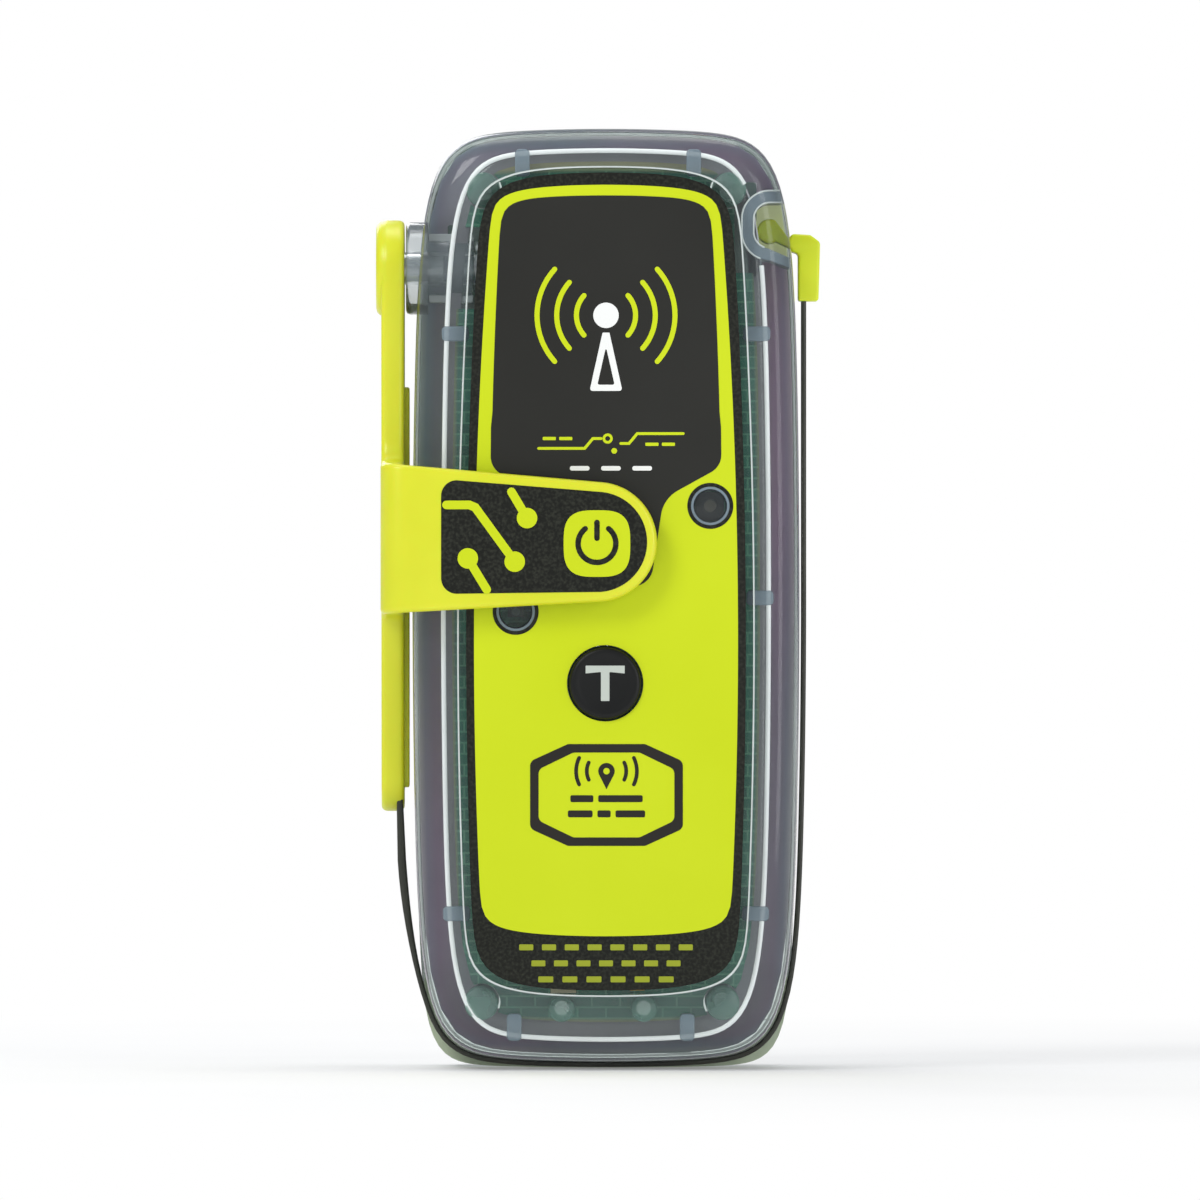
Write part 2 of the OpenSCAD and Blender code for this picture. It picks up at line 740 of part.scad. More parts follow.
// Small screws that hold the board to the front shell's posts
module board_screws() color("silver") for (s = board_spots) {
    difference() {
        y_bar(1.5, s, board_y + 1, board_y + 0.02);
        y_key(0.6, s, board_y + 2, board_y + 0.4);
    }
    y_bar(board_screw_r - 0.03, s, board_y + 0.1, board_face - 2.6);
}

front_shell();
rear_shell();
case_gasket();
case_screws();
screw_seals();
front_label();
rear_label();
test_button();
power_button();
button_seals();
antenna_arm();
flap_inlay();
hinge_shaft();
hinge_o_rings();
hinge_clip();
contact_spring();
blade_root();
blade_link_1();
blade_link_2();
blade_link_3();
blade_link_4();
tip_clip();
main_board();
board_screws();
gps_patch();
radio_shield();
processor_shield();
oscillator();
matching_coil();
strobe_led();
status_led();
tact_switches();
chip_parts();
tantalum_parts();
battery_connector();
battery_cells();
cell_tabs();
red_wire();
black_wire();
foam_pad();
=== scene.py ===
import json
import math

import bmesh
import bpy
from mathutils import Matrix, Vector


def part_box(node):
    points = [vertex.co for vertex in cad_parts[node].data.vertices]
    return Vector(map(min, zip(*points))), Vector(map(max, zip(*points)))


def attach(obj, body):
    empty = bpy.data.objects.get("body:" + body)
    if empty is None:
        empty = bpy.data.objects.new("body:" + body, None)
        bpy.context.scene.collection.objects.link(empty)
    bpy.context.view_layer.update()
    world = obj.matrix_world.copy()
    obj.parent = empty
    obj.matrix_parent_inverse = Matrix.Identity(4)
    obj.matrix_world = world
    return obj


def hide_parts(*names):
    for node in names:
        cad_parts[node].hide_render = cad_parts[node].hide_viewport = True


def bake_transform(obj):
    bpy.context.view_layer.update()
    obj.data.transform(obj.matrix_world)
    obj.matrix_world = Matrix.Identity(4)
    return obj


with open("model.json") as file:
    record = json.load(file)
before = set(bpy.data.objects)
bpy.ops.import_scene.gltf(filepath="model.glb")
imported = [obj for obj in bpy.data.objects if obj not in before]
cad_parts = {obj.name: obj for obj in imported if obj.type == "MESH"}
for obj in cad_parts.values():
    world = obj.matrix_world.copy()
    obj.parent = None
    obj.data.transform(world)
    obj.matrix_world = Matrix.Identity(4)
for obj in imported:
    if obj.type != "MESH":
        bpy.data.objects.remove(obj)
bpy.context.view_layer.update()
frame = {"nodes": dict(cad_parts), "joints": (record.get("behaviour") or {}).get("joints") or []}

# Everything below is in millimetres until a mesh is made
MM = 0.001


def node_box(node):
    """Lowest and highest corner of a CAD node, in millimetres."""
    low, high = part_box(node)
    return low / MM, high / MM


def spot_of(node):
    """X and Z of a node's middle, in millimetres."""
    low, high = node_box(node)
    return ((low.x + high.x) / 2, (low.z + high.z) / 2)


SHELL_LOW, SHELL_HIGH = node_box("front_shell")
REAR_LOW = node_box("rear_shell")[0]
LABEL_LOW, LABEL_HIGH = node_box("front_label")
ARM_LOW = node_box("antenna_arm")[0]
TIP_LOW, TIP_HIGH = node_box("tip_clip")
INLAY_LOW = node_box("flap_inlay")[0]
ROOT_LOW, ROOT_HIGH = node_box("blade_root")
BOARD_LOW, BOARD_HIGH = node_box("main_board")
BOARD_FACE, BOARD_BACK = BOARD_LOW.y, BOARD_HIGH.y

# The case: half width, ends, middle height, half height, front face and the seam between its halves
CASE_HALF, CASE_TOP, CASE_FOOT = SHELL_HIGH.x, SHELL_HIGH.z, SHELL_LOW.z
CASE_MIDDLE, CASE_REACH = (CASE_TOP + CASE_FOOT) / 2, (CASE_TOP - CASE_FOOT) / 2
FRONT_Y, SEAM_Y = SHELL_LOW.y, SHELL_HIGH.y
SEAM_GAP = 0.03
SPLIT_Y = node_box("case_gasket")[1].y + SEAM_GAP
WALL, END_WALL, FRONT_WALL, REAR_WALL = 3.7, 2.6, 2.8, 2.1
SHOULDER, REAR_EDGE = 4.0, 3.0
CORNER_POWER, SIDE_BOW, END_BOW = 8, 0.052, 0.02
INNER_Y = FRONT_Y + FRONT_WALL
RECESS_Y, LABEL_Y = LABEL_HIGH.y, LABEL_LOW.y

# Points round an outline of the case, and steps of a quarter round edge
TURNS, QUARTER = 240, [math.radians(90 * i / 8) for i in range(9)]

# Spots and sizes on the front
TEST_SPOT, POWER_SPOT = spot_of("test_button"), spot_of("power_button")
STROBE_SPOT, STATUS_SPOT = spot_of("strobe_led"), spot_of("status_led")
CAP_R = (node_box("test_button")[1].x - node_box("test_button")[0].x) / 2
WINDOW_R = 2.35
SCREW_SPOTS = [(-15, 50), (15, 50), (-15.2, -49.2), (14.2, -49.2)]
PIN_SPOTS = [(-5.4, -49.9), (4.6, -49.9)]
GUSSET_Z, GUSSET_TOP_X, GUSSET_FOOT_X = (32.4, 0.2, -38.3), (-10.2, 10.7), (-11.2, 9.9)
POCKET = (19.9, 46.4)
HINGE = [1000 * c for c in next(j for j in frame["joints"] if j["name"] == "arm_swing")["pos_m"]]

# Print: thickness of one layer, and how far the flap's outer face lies behind the arm's foremost point
LAYER, FLAP_INSET = 0.035, 0.14
FLAP_Y = ARM_LOW.y + FLAP_INSET
FLAP_END = (-1.1, 7.0)

# Posts and eyes: outer radius of a screw post, radius of a clip hole, of the lanyard eye and its spot
POST_R, CLIP_HOLE_R, EYE_R, EYE_Y, EYE_Z = 2.08, 1.25, 1.6, -4, -54.4
CLIP_HOLE_Z = (-22, 2)


# ---------------------------------------------------------------- materials


def srgb(red, green, blue, alpha=1.0):
    """A linear colour from 0 to 255 display values."""
    def linear(v):
        v /= 255
        return v / 12.92 if v <= 0.04045 else ((v + 0.055) / 1.055) ** 2.4
    return (linear(red), linear(green), linear(blue), alpha)


class Finish:
    """A node-based material under construction."""

    def __init__(self, name):
        self.mat = bpy.data.materials.new(name)
        self.mat.use_nodes = True
        self.tree = self.mat.node_tree
        self.bsdf = self.tree.nodes["Principled BSDF"]
        self.out = self.tree.nodes["Material Output"]
        self.coords = self.add("TexCoord")

    def add(self, kind, **inputs):
        """A new node, each input given as a value or as another node's output."""
        node = self.tree.nodes.new("ShaderNode" + kind)
        for key, value in inputs.items():
            self.feed(node.inputs[key.replace("_", " ")], value)
        return node

    def feed(self, slot, term):
        """Gives an input a value, or links an output to it."""
        if isinstance(term, (int, float, tuple)):
            slot.default_value = term
        else:
            self.tree.links.new(term, slot)

    def set(self, **inputs):
        """Inputs of the surface shader, each a value or another node's output."""
        for key, value in inputs.items():
            self.feed(self.bsdf.inputs[key.replace("_", " ")], value)
        return self

    def mapped(self, **inputs):
        """Object coordinates after a shift, a turn or a scale."""
        return self.add("Mapping", Vector=self.coords.outputs["Object"], **inputs).outputs["Vector"]

    def noise(self, scale, detail=3.0, stretch=(1, 1, 1)):
        grain = self.add("TexNoise", Scale=scale, Detail=detail, Vector=self.mapped(Scale=stretch))
        return grain.outputs["Fac"]

    def ramp(self, source, *stops):
        """Colour ramp through stops, each a share from 0 to 1 and a colour."""
        scale = self.add("ValToRGB", Fac=source)
        points = scale.color_ramp.elements
        while len(points) < len(stops):
            points.new(0.5)
        for point, (share, colour) in zip(points, stops):
            point.position, point.color = share, colour
        return scale.outputs["Color"]

    def tint(self, source, *stops):
        return self.set(Base_Color=self.ramp(source, *stops))

    def rough(self, source, low, high):
        span = self.add("MapRange", Value=source, To_Min=low, To_Max=high)
        return self.set(Roughness=span.outputs["Result"])

    def bump(self, source, strength, depth):
        relief = self.add("Bump", Strength=strength, Distance=depth * MM, Height=source)
        return self.set(Normal=relief.outputs["Normal"])

    def calc(self, kind, *terms):
        """One arithmetic step on numbers or outputs."""
        step = self.add("Math")
        step.operation = kind
        for slot, term in zip(step.inputs, terms):
            self.feed(slot, term)
        return step.outputs[0]

    def mix_shaders(self, share, below, above):
        """Mix of two shaders, by a number or an output."""
        mix = self.add("MixShader")
        for slot, term in zip(mix.inputs, (share, below, above)):
            self.feed(slot, term)
        return mix.outputs[0]

    def mix_colours(self, share, below, above):
        """Base colour from two colours, each a value or an output, by a number or an output."""
        mix = self.add("Mix")
        mix.data_type = "RGBA"
        for slot, term in ((mix.inputs["Factor"], share), (mix.inputs[6], below), (mix.inputs[7], above)):
            self.feed(slot, term)
        self.set(Base_Color=mix.outputs[2])

    def show(self, shader):
        """Makes a shader the material's surface."""
        self.feed(self.out.inputs["Surface"], shader)
        return self

    def veil(self, share, clear_tint=(1, 1, 1, 1), gloss=None):
        """Mixes the surface with plain transparency, and lays a clear shine on top if asked."""
        gap = self.add("BsdfTransparent", Color=clear_tint)
        shown = self.mix_shaders(share, self.bsdf.outputs[0], gap.outputs[0])
        if gloss is not None:
            shine = self.add("BsdfAnisotropic", Color=(1, 1, 1, 1), Roughness=gloss)
            facing = self.add("Fresnel", IOR=1.3)
            shown = self.mix_shaders(facing.outputs[0], shown, shine.outputs[0])
        return self.show(shown)

    def rim(self, span):
        """Distance in from the case's outline, from 0 at the edge to 1 at the span, in millimetres."""
        corner, power = 9.0, 2.6
        split = self.add("SeparateXYZ", Vector=self.coords.outputs["Object"])
        x = self.calc("ABSOLUTE", self.calc("MULTIPLY", split.outputs["X"], 1 / MM))
        height = self.calc("MULTIPLY", split.outputs["Z"], 1 / MM)
        z = self.calc("ABSOLUTE", self.calc("SUBTRACT", height, CASE_MIDDLE))

        def gap(half, here, other, far, bow):
            square = self.calc("POWER", self.calc("DIVIDE", other, far), 2)
            edge = self.calc("MULTIPLY_ADD", square, -half * bow, half)
            near = self.calc("SUBTRACT", 1, self.calc("DIVIDE", self.calc("SUBTRACT", edge, here), corner))
            return self.calc("POWER", self.calc("MAXIMUM", near, 0), power)

        both = self.calc("ADD", gap(CASE_HALF, x, z, CASE_REACH, SIDE_BOW),
                         gap(CASE_REACH, z, x, CASE_HALF, END_BOW))
        inward = self.calc("MULTIPLY", self.calc("SUBTRACT", 1, self.calc("POWER", both, 1 / power)), corner)
        return self.calc("DIVIDE", inward, span)


def moulded(name, low, high, roughness=0.35, grain=900, depth=0.02, **more):
    """Moulded plastic or rubber: two close tones, a fine grain and uneven gloss."""
    f = Finish(name).set(Roughness=roughness, **more)
    f.tint(f.noise(60, 4), (0.35, low), (0.65, high))
    f.rough(f.noise(160, 3), roughness * 0.8, min(1, roughness * 1.25))
    return f.bump(f.noise(grain, 2), 0.25, depth).mat


def metal(name, low, high, roughness=0.3, stretch=(1, 1, 12)):
    """Metal with fine brushed lines, or an even grain without the stretch."""
    f = Finish(name).set(Metallic=1.0, Roughness=roughness)
    f.tint(f.noise(300, 2, stretch), (0.3, low), (0.7, high))
    f.rough(f.noise(500, 2, stretch), roughness * 0.7, roughness * 1.3)
    return f.bump(f.noise(900, 2, stretch), 0.15, 0.01).mat


def clear(name, tint, share, gloss=0.06, clear_tint=(0.97, 0.985, 0.985, 1)):
    """Clear moulded plastic: mostly see-through, a faint haze and a bright shine at grazing angles."""
    f = Finish(name).set(Roughness=0.25)
    hazy = tuple(c * 0.9 for c in tint[:3]) + (1,)
    f.tint(f.noise(45, 2), (0.3, hazy), (0.7, tint))
    f.bump(f.noise(40, 2), 0.04, 0.04)
    return f.veil(share, clear_tint, gloss).mat


def milky(name, tint, share, roughness=0.3, glow=0.0):
    """Clear plastic seen through its thickness: a pale cloudy tone, partly see-through."""
    f = Finish(name).set(Roughness=roughness, IOR=1.45, Emission_Color=tint, Emission_Strength=glow)
    dark = tuple(c * 0.86 for c in tint[:3]) + (1,)
    f.tint(f.noise(120, 3), (0.3, dark), (0.7, tint))
    f.bump(f.noise(500, 2), 0.1, 0.02)
    return f.veil(share).mat


def print_ink(name, low, high, roughness=0.32):
    """Printed film: a very slight mottle under a satin coat."""
    f = Finish(name).set(Roughness=roughness, Specular_IOR_Level=0.25)
    f.tint(f.noise(35, 3), (0.3, low), (0.7, high))
    f.rough(f.noise(220, 2), roughness * 0.85, roughness * 1.15)
    return f.bump(f.noise(1400, 2), 0.12, 0.01).mat


def black_grain(name):
    """Black ink with the fine pale speckle of a textured film."""
    f = Finish(name).set(Roughness=0.42, Specular_IOR_Level=0.25)
    f.tint(f.noise(2600, 2), (0.42, srgb(16, 18, 12)), (0.72, srgb(44, 46, 38)))
    return f.bump(f.noise(2600, 2), 0.3, 0.015).mat


def board_mask():
    """Green solder mask over copper tracks, with a bare olive rim."""
    f = Finish("board_green").set(Roughness=0.3, Coat_Weight=0.4)
    brick = f.add("TexBrick", Scale=260, Mortar_Size=0.03, Brick_Width=0.9, Row_Height=0.35,
                  Color1=srgb(40, 116, 92), Color2=srgb(32, 96, 80), Mortar=srgb(74, 140, 112),
                  Vector=f.mapped(Rotation=(math.pi / 2, 0, 0)))
    bare = f.ramp(f.rim(8.0), (0.58, (1, 1, 1, 1)), (0.66, (0, 0, 0, 1)))
    f.mix_colours(bare, brick.outputs["Color"], srgb(142, 140, 96))
    return f.bump(f.noise(700, 2), 0.2, 0.03).mat


def gasket_mauve():
    """Silicone seen through the thick wall: grey-blue outside, violet patches along its middle, and a
    near-white outer edge that is a painted highlight of the wall's rounded shoulder.
    """
    f = Finish("gasket_mauve").set(Roughness=0.55)
    patches = f.ramp(f.noise(30, 2, (1, 1, 0.3)), (0.36, srgb(162, 176, 196)),
                     (0.50, srgb(198, 172, 200)), (0.62, srgb(226, 162, 212)))
    # Painted highlight: the near-white tones at the outer edge of this ramp stand for the shine of the clear
    # wall's shoulder; the tones further in are the silicone seen through the wall
    across = f.ramp(f.rim(4.0), (0.03, srgb(240, 246, 236)), (0.17, srgb(216, 226, 216)),
                    (0.34, srgb(166, 184, 200)), (0.62, srgb(184, 168, 190)),
                    (0.95, srgb(204, 200, 208)))
    f.mix_colours(0.5, patches, across)
    return f.bump(f.noise(400, 2), 0.2, 0.03).mat


def light_well(name, spot, chip_r, chip, well):
    """An LED: a pale chip in the middle of a dark cup."""
    f = Finish(name).set(Roughness=0.3, Coat_Weight=0.5)
    length = f.add("VectorMath", Vector=f.mapped(Location=(-spot[0] * MM, 0, -spot[1] * MM), Scale=(1, 0, 1)))
    length.operation = "LENGTH"
    away = f.calc("DIVIDE", length.outputs["Value"], 2 * chip_r * MM)
    f.tint(away, (0.44, chip), (0.54, well))
    return f.bump(f.noise(900, 2), 0.15, 0.02).mat


CLEAR = (
    ("clear_front", srgb(190, 204, 210), 0.96),
    ("clear_pane", srgb(190, 210, 206), 0.985),
    ("clear_boss", srgb(178, 190, 196), 0.66, 0.12),
    ("clear_rear", srgb(200, 214, 204), 0.86, 0.10, (0.88, 0.93, 0.91, 1)),
)
MILKY = (
    ("milky_blue", srgb(140, 158, 170), 0.3),
    ("milky_pale", srgb(190, 206, 200), 0.72),
    # Painted highlight white for the bands in the hinge tube
    ("milky_white", srgb(226, 232, 234), 0.4),
    ("milky_green", srgb(206, 220, 190), 0.25),
    ("seat_grey", srgb(138, 136, 142), 0.12),
    ("seat_green", srgb(104, 124, 118), 0.2),
    # Painted light: the glow of this row lifts the shaded floor of the tip's pocket
    ("pocket_pale", srgb(226, 232, 186), 0.15, 0.3, 0.22),
    ("post_green", srgb(112, 158, 142), 0.45),
    # The next two rows glow: painted highlights, laid as pale beads where the clear shell's edges shine
    ("edge_soft", srgb(226, 234, 232), 0.25, 0.25, 0.12),
    ("edge_light", srgb(244, 248, 247), 0.04, 0.25, 0.15),
)
PRINT = (
    ("lime", srgb(203, 219, 20), srgb(208, 224, 30)),
    ("window_black", srgb(38, 38, 35), srgb(43, 43, 40), 0.3),
    ("white_ink", srgb(240, 242, 240), srgb(248, 249, 247)),
    ("octagon_ink", srgb(36, 34, 30), srgb(42, 39, 35)),
    ("mark_white", srgb(190, 198, 190), srgb(202, 208, 200)),
    ("dim_lime", srgb(150, 160, 40), srgb(160, 170, 48)),
    ("film", srgb(226, 227, 222), srgb(234, 235, 231)),
)
MOULDED = (
    ("black_rubber", srgb(28, 29, 30), srgb(38, 39, 40), 0.6),
    ("blue_rubber", srgb(26, 40, 74), srgb(36, 56, 96), 0.4),
    ("blade", srgb(38, 40, 32), srgb(52, 53, 44), 0.36, 600),
    ("ceramic", srgb(214, 204, 180), srgb(226, 217, 196), 0.5),
    ("well", srgb(34, 44, 54), srgb(46, 58, 68), 0.4),
    ("switch", srgb(34, 34, 36), srgb(48, 48, 50), 0.5),
    ("chip", srgb(214, 202, 166), srgb(228, 218, 186), 0.45),
    ("amber", srgb(206, 160, 44), srgb(222, 180, 66), 0.4),
    ("connector", srgb(232, 226, 204), srgb(240, 235, 218), 0.5),
    ("cell", srgb(40, 62, 112), srgb(52, 78, 132), 0.3),
    ("red_wire", srgb(176, 34, 26), srgb(196, 48, 38), 0.45),
    ("black_wire", srgb(26, 26, 27), srgb(38, 38, 39), 0.45),
    ("foam", srgb(52, 53, 56), srgb(74, 75, 78), 0.9, 1500, 0.15),
)
METAL = (
    ("steel", (0.62, 0.63, 0.64, 1), (0.75, 0.76, 0.77, 1)),
    ("gold", (0.74, 0.55, 0.24, 1), (0.86, 0.68, 0.34, 1), 0.25),
    ("tin", (0.66, 0.67, 0.68, 1), (0.80, 0.80, 0.81, 1), 0.28, (1, 1, 1)),
    ("copper", (0.70, 0.34, 0.18, 1), (0.84, 0.48, 0.28, 1), 0.3),
)
MAT = {"gasket": gasket_mauve(), "black_border": black_grain("black_border"), "board": board_mask()}
for maker, rows in ((clear, CLEAR), (milky, MILKY), (print_ink, PRINT), (moulded, MOULDED), (metal, METAL)):
    for row in rows:
        MAT[row[0]] = maker(*row)
MAT["cap_black"] = moulded("cap_black", srgb(9, 11, 11), srgb(14, 16, 16), 0.4, Specular_IOR_Level=0.3)
# The tip's copy of the yellow is painted light: a brighter copy of the arm's yellow that offsets the shade
# the case casts on the tip
for name, low, high in (("yellow", srgb(218, 222, 34), srgb(226, 229, 44)),
                        ("tip_yellow_painted_light", srgb(222, 236, 30), srgb(230, 244, 40))):
    MAT[name] = moulded(name, low, high, 0.34, Subsurface_Weight=0.15, Subsurface_Scale=0.002)
MAT["strobe"] = light_well("strobe", STROBE_SPOT, 0.75, srgb(176, 170, 152), srgb(34, 44, 58))
MAT["status"] = light_well("status", STATUS_SPOT, 0.5, srgb(120, 150, 140), srgb(30, 66, 62))

# Finishes of the nodes that keep their CAD shape
CAD_FINISH = {
    "gasket": ["case_gasket"], "steel": ["case_screws", "hinge_shaft", "hinge_clip", "board_screws"],
    "black_rubber": ["screw_seals", "button_seals"], "blue_rubber": ["hinge_o_rings"],
    "gold": ["contact_spring", "oscillator"], "board": ["main_board"], "ceramic": ["gps_patch"],
    "tin": ["radio_shield", "processor_shield", "cell_tabs"], "copper": ["matching_coil"],
    "strobe": ["strobe_led"], "status": ["status_led"], "switch": ["tact_switches"],
    "chip": ["chip_parts"], "amber": ["tantalum_parts"], "connector": ["battery_connector"],
    "cell": ["battery_cells"], "red_wire": ["red_wire"], "black_wire": ["black_wire"],
    "foam": ["foam_pad"],
}
LEFT_SHARP = ("case_gasket", "hinge_o_rings", "matching_coil", "red_wire", "black_wire")


# ---------------------------------------------------------------- shape helpers


def unit_box(power, steps):
    """Unit square with large soft corners, in even turns."""
    points = []
    for i in range(steps):
        c, s = math.cos(math.tau * i / steps), math.sin(math.tau * i / steps)
        k = (abs(c) ** power + abs(s) ** power) ** (-1 / power)
        points.append((c * k, s * k))
    return points


def unit_frame(across, along, steps=TURNS):
    """Unit frame with small corners, from its own power across and along, in even turns."""
    points = []
    for i in range(steps):
        c, s = math.cos(math.tau * i / steps), math.sin(math.tau * i / steps)
        low, high = 1.0, 1.5
        for _ in range(30):
            k = (low + high) / 2
            if abs(c * k) ** across + abs(s * k) ** along > 1:
                high = k
            else:
                low = k
        points.append((c * low, s * low))
    return points


def stretched(points, half, top, foot, bow, crown, taper=0.0):
    """Unit points as (x, z) millimetres, with bowed sides and crowned ends."""
    middle, reach = (top + foot) / 2, (top - foot) / 2
    return [(half * u * (1 - bow * v * v - taper * v), middle + reach * v * (1 - crown * u * u))
            for u, v in points]


def outline(half, top, foot, power, bow, crown):
    """Soft-cornered outline of the case family."""
    return stretched(unit_box(power, TURNS), half, top, foot, bow, crown)


def case_outline(inset=0.0):
    """Outline of the front shell, held in by an inset."""
    return outline(CASE_HALF - inset, CASE_TOP - inset, CASE_FOOT + inset,
                   CORNER_POWER, SIDE_BOW, END_BOW)


def guard_outline(inset=0.0):
    """Squarer outline of the rear shell's foot, which guards the blade."""
    return outline(CASE_HALF - 0.1 - inset, CASE_TOP - inset, REAR_LOW.z + inset, 11, 0.045, 0.008)


def rear_outline(inset=0.0):
    """The case outline above, passing into the guard outline below."""
    points = []
    for (_, v), a, b in zip(unit_box(CORNER_POWER, TURNS), case_outline(inset), guard_outline(inset)):
        w = eased(min(1, max(0, 0.5 - v * 2)))
        points.append((a[0] + (b[0] - a[0]) * w, a[1] + (b[1] - a[1]) * w))
    return points


def cavity_outline(side=0.0, ends=None):
    """Outline of the space inside, held in at its sides and ends."""
    ends = side if ends is None else ends
    return outline(CASE_HALF - WALL - side, CASE_TOP - END_WALL - ends, CASE_FOOT + END_WALL + ends,
                   CORNER_POWER, SIDE_BOW, END_BOW)


def recess_outline(side=0.0, ends=None):
    """Outline of the label's recess, held in at its sides and ends."""
    ends = side if ends is None else ends
    return stretched(unit_frame(4.5, 25), 17.9 - side, 52.6 - ends, -48.2 + ends, 0.085, END_BOW, 0.024)


def arc(centre, radius, start, end, steps=24):
    """Points on an arc, angles in degrees."""
    return [(centre[0] + radius * math.cos(math.radians(start + (end - start) * i / steps)),
             centre[1] + radius * math.sin(math.radians(start + (end - start) * i / steps)))
            for i in range(steps + 1)]


def circle(centre, radius, steps=64):
    """Closed ring of points."""
    return arc(centre, radius, 0, 360 * (steps - 1) / steps, steps - 1)


def rounded(corners, steps=8):
    """Closed polygon from (x, z, radius) corners, each rounded by its radius."""
    points = []
    for i, (x, z, r) in enumerate(corners):
        here = Vector((x, z))
        back = Vector(corners[i - 1][:2]) - here
        ahead = Vector(corners[(i + 1) % len(corners)][:2]) - here
        if r <= 0:
            points.append((x, z))
            continue
        half = back.angle(ahead) / 2
        cut = min(r / math.tan(half), back.length * 0.49, ahead.length * 0.49)
        first, last = here + back.normalized() * cut, here + ahead.normalized() * cut
        centre = here + (back.normalized() + ahead.normalized()).normalized() * (cut / math.cos(half))
        a, b = first - centre, last - centre
        turn = a.angle_signed(b)
        for k in range(steps + 1):
            points.append(tuple(centre + Matrix.Rotation(-turn * k / steps, 2) @ a))
    return points


def bar(x0, x1, z0, z1, r=0.15, steps=4):
    """Rectangle with rounded corners."""
    return rounded([(x0, z0, r), (x1, z0, r), (x1, z1, r), (x0, z1, r)], steps)


def stroke(points, width, cap=6):
    """Outline of a line of even width through points, with round ends."""
    half = width / 2
    left, right = [], []
    count = len(points)
    for i, p in enumerate(points):
        here = Vector(p)
        before = (here - Vector(points[i - 1])).normalized() if i else None
        after = (Vector(points[i + 1]) - here).normalized() if i < count - 1 else None
        along = before or after
        if before and after:
            along = (before + after).normalized()
        side = Vector((-along.y, along.x))
        reach = half
        if before and after:
            reach = half / max(0.5, side.dot(Vector((-before.y, before.x))))
        left.append(here + side * reach)
        right.append(here - side * reach)
    end = Vector(points[-1]) - Vector(points[-2])
    start = Vector(points[0]) - Vector(points[1])
    a = math.degrees(math.atan2(end.y, end.x))
    b = math.degrees(math.atan2(start.y, start.x))
    loop = [tuple(p) for p in left]
    loop += arc(points[-1], half, a + 90, a - 90, cap)[1:-1]
    loop += [tuple(p) for p in reversed(right)]
    loop += arc(points[0], half, b + 90, b - 90, cap)[1:-1]
    return loop


def eased(w):
    """Smooth step of a share from 0 to 1."""
    return w * w * (3 - 2 * w)


def set_normals(mesh, weld=None):
    """Turns all faces outwards, after welding points closer than a distance."""
    work = bmesh.new()
    work.from_mesh(mesh)
    if weld:
        bmesh.ops.remove_doubles(work, verts=work.verts, dist=weld)
    bmesh.ops.recalc_face_normals(work, faces=work.faces)
    work.to_mesh(mesh)
    work.free()


def smooth(mesh, angle=35):
    """Smooth shading, kept sharp above an angle in degrees."""
    for face in mesh.polygons:
        face.use_smooth = True
    mesh.set_sharp_from_angle(angle=math.radians(angle))


def place(mesh, name, material, body, slot=None, stands_for=()):
    """Puts a mesh in the scene as a piece of a body, in place of the CAD nodes it stands for."""
    obj = in_scene(name, mesh)
    mesh.materials.clear()
    mesh.materials.append(MAT[material])
    if body:
        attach(obj, body)
    if stands_for:
        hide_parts(*stands_for)
    return obj


def in_scene(name, data):
    """A new object in the scene, from a mesh, a curve, a lamp or a camera."""
    obj = bpy.data.objects.new(name, data)
    bpy.context.scene.collection.objects.link(obj)
    return obj


def finished_mesh(obj):
    """Mesh of an object as its modifiers or its curve settings make it."""
    bpy.context.view_layer.update()
    ready = obj.evaluated_get(bpy.context.evaluated_depsgraph_get())
    return bpy.data.meshes.new_from_object(ready)


def curve_mesh(loops, thick, bevel):
    """Mesh of a flat shape with holes, its thickness along local Z about 0, its edges rounded."""
    curve = bpy.data.curves.new("outline", "CURVE")
    curve.dimensions = "2D"
    curve.fill_mode = "BOTH"
    for loop in loops:
        spline = curve.splines.new("POLY")
        spline.points.add(len(loop) - 1)
        for point, (a, b) in zip(spline.points, loop):
            point.co = (a, b, 0, 1)
        spline.use_cyclic_u = True
    curve.extrude = thick / 2 - bevel
    curve.bevel_depth = bevel
    curve.bevel_resolution = 3
    curve.offset = -bevel
    holder = in_scene("outline", curve)
    mesh = finished_mesh(holder)
    bpy.data.objects.remove(holder)
    bpy.data.curves.remove(curve)
    set_normals(mesh, 1e-5)
    return mesh


def map_mesh(mesh, rule):
    """Moves every point by a rule from millimetres to millimetres, then scales to metres."""
    for v in mesh.vertices:
        v.co = Vector(rule(*v.co)) * MM
    set_normals(mesh)
    mesh.update()
    smooth(mesh)
    return mesh


def plate(name, loops, front, back, material, body="case", bevel=0.0, **more):
    """A flat shape in X and Z between two Y planes."""
    middle, thick = (front + back) / 2, abs(back - front)
    mesh = map_mesh(curve_mesh(loops, thick, bevel), lambda a, b, c: (a, middle - c, b))
    return place(mesh, name, material, body, **more)


def side_plate(name, loops, left, right, material, body="case", bevel=0.0, **more):
    """A flat shape in Y and Z between two X planes."""
    middle, thick = (left + right) / 2, abs(right - left)
    mesh = map_mesh(curve_mesh(loops, thick, bevel), lambda a, b, c: (middle + c, a, b))
    return place(mesh, name, material, body, **more)


def ink(name, loops, level, material, body="case", base=None):
    """One printed layer, a step nearer the eye for each level."""
    base = LABEL_Y if base is None else base
    return plate(name, loops, base - LAYER * level, base - LAYER * (level - 1), material, body)


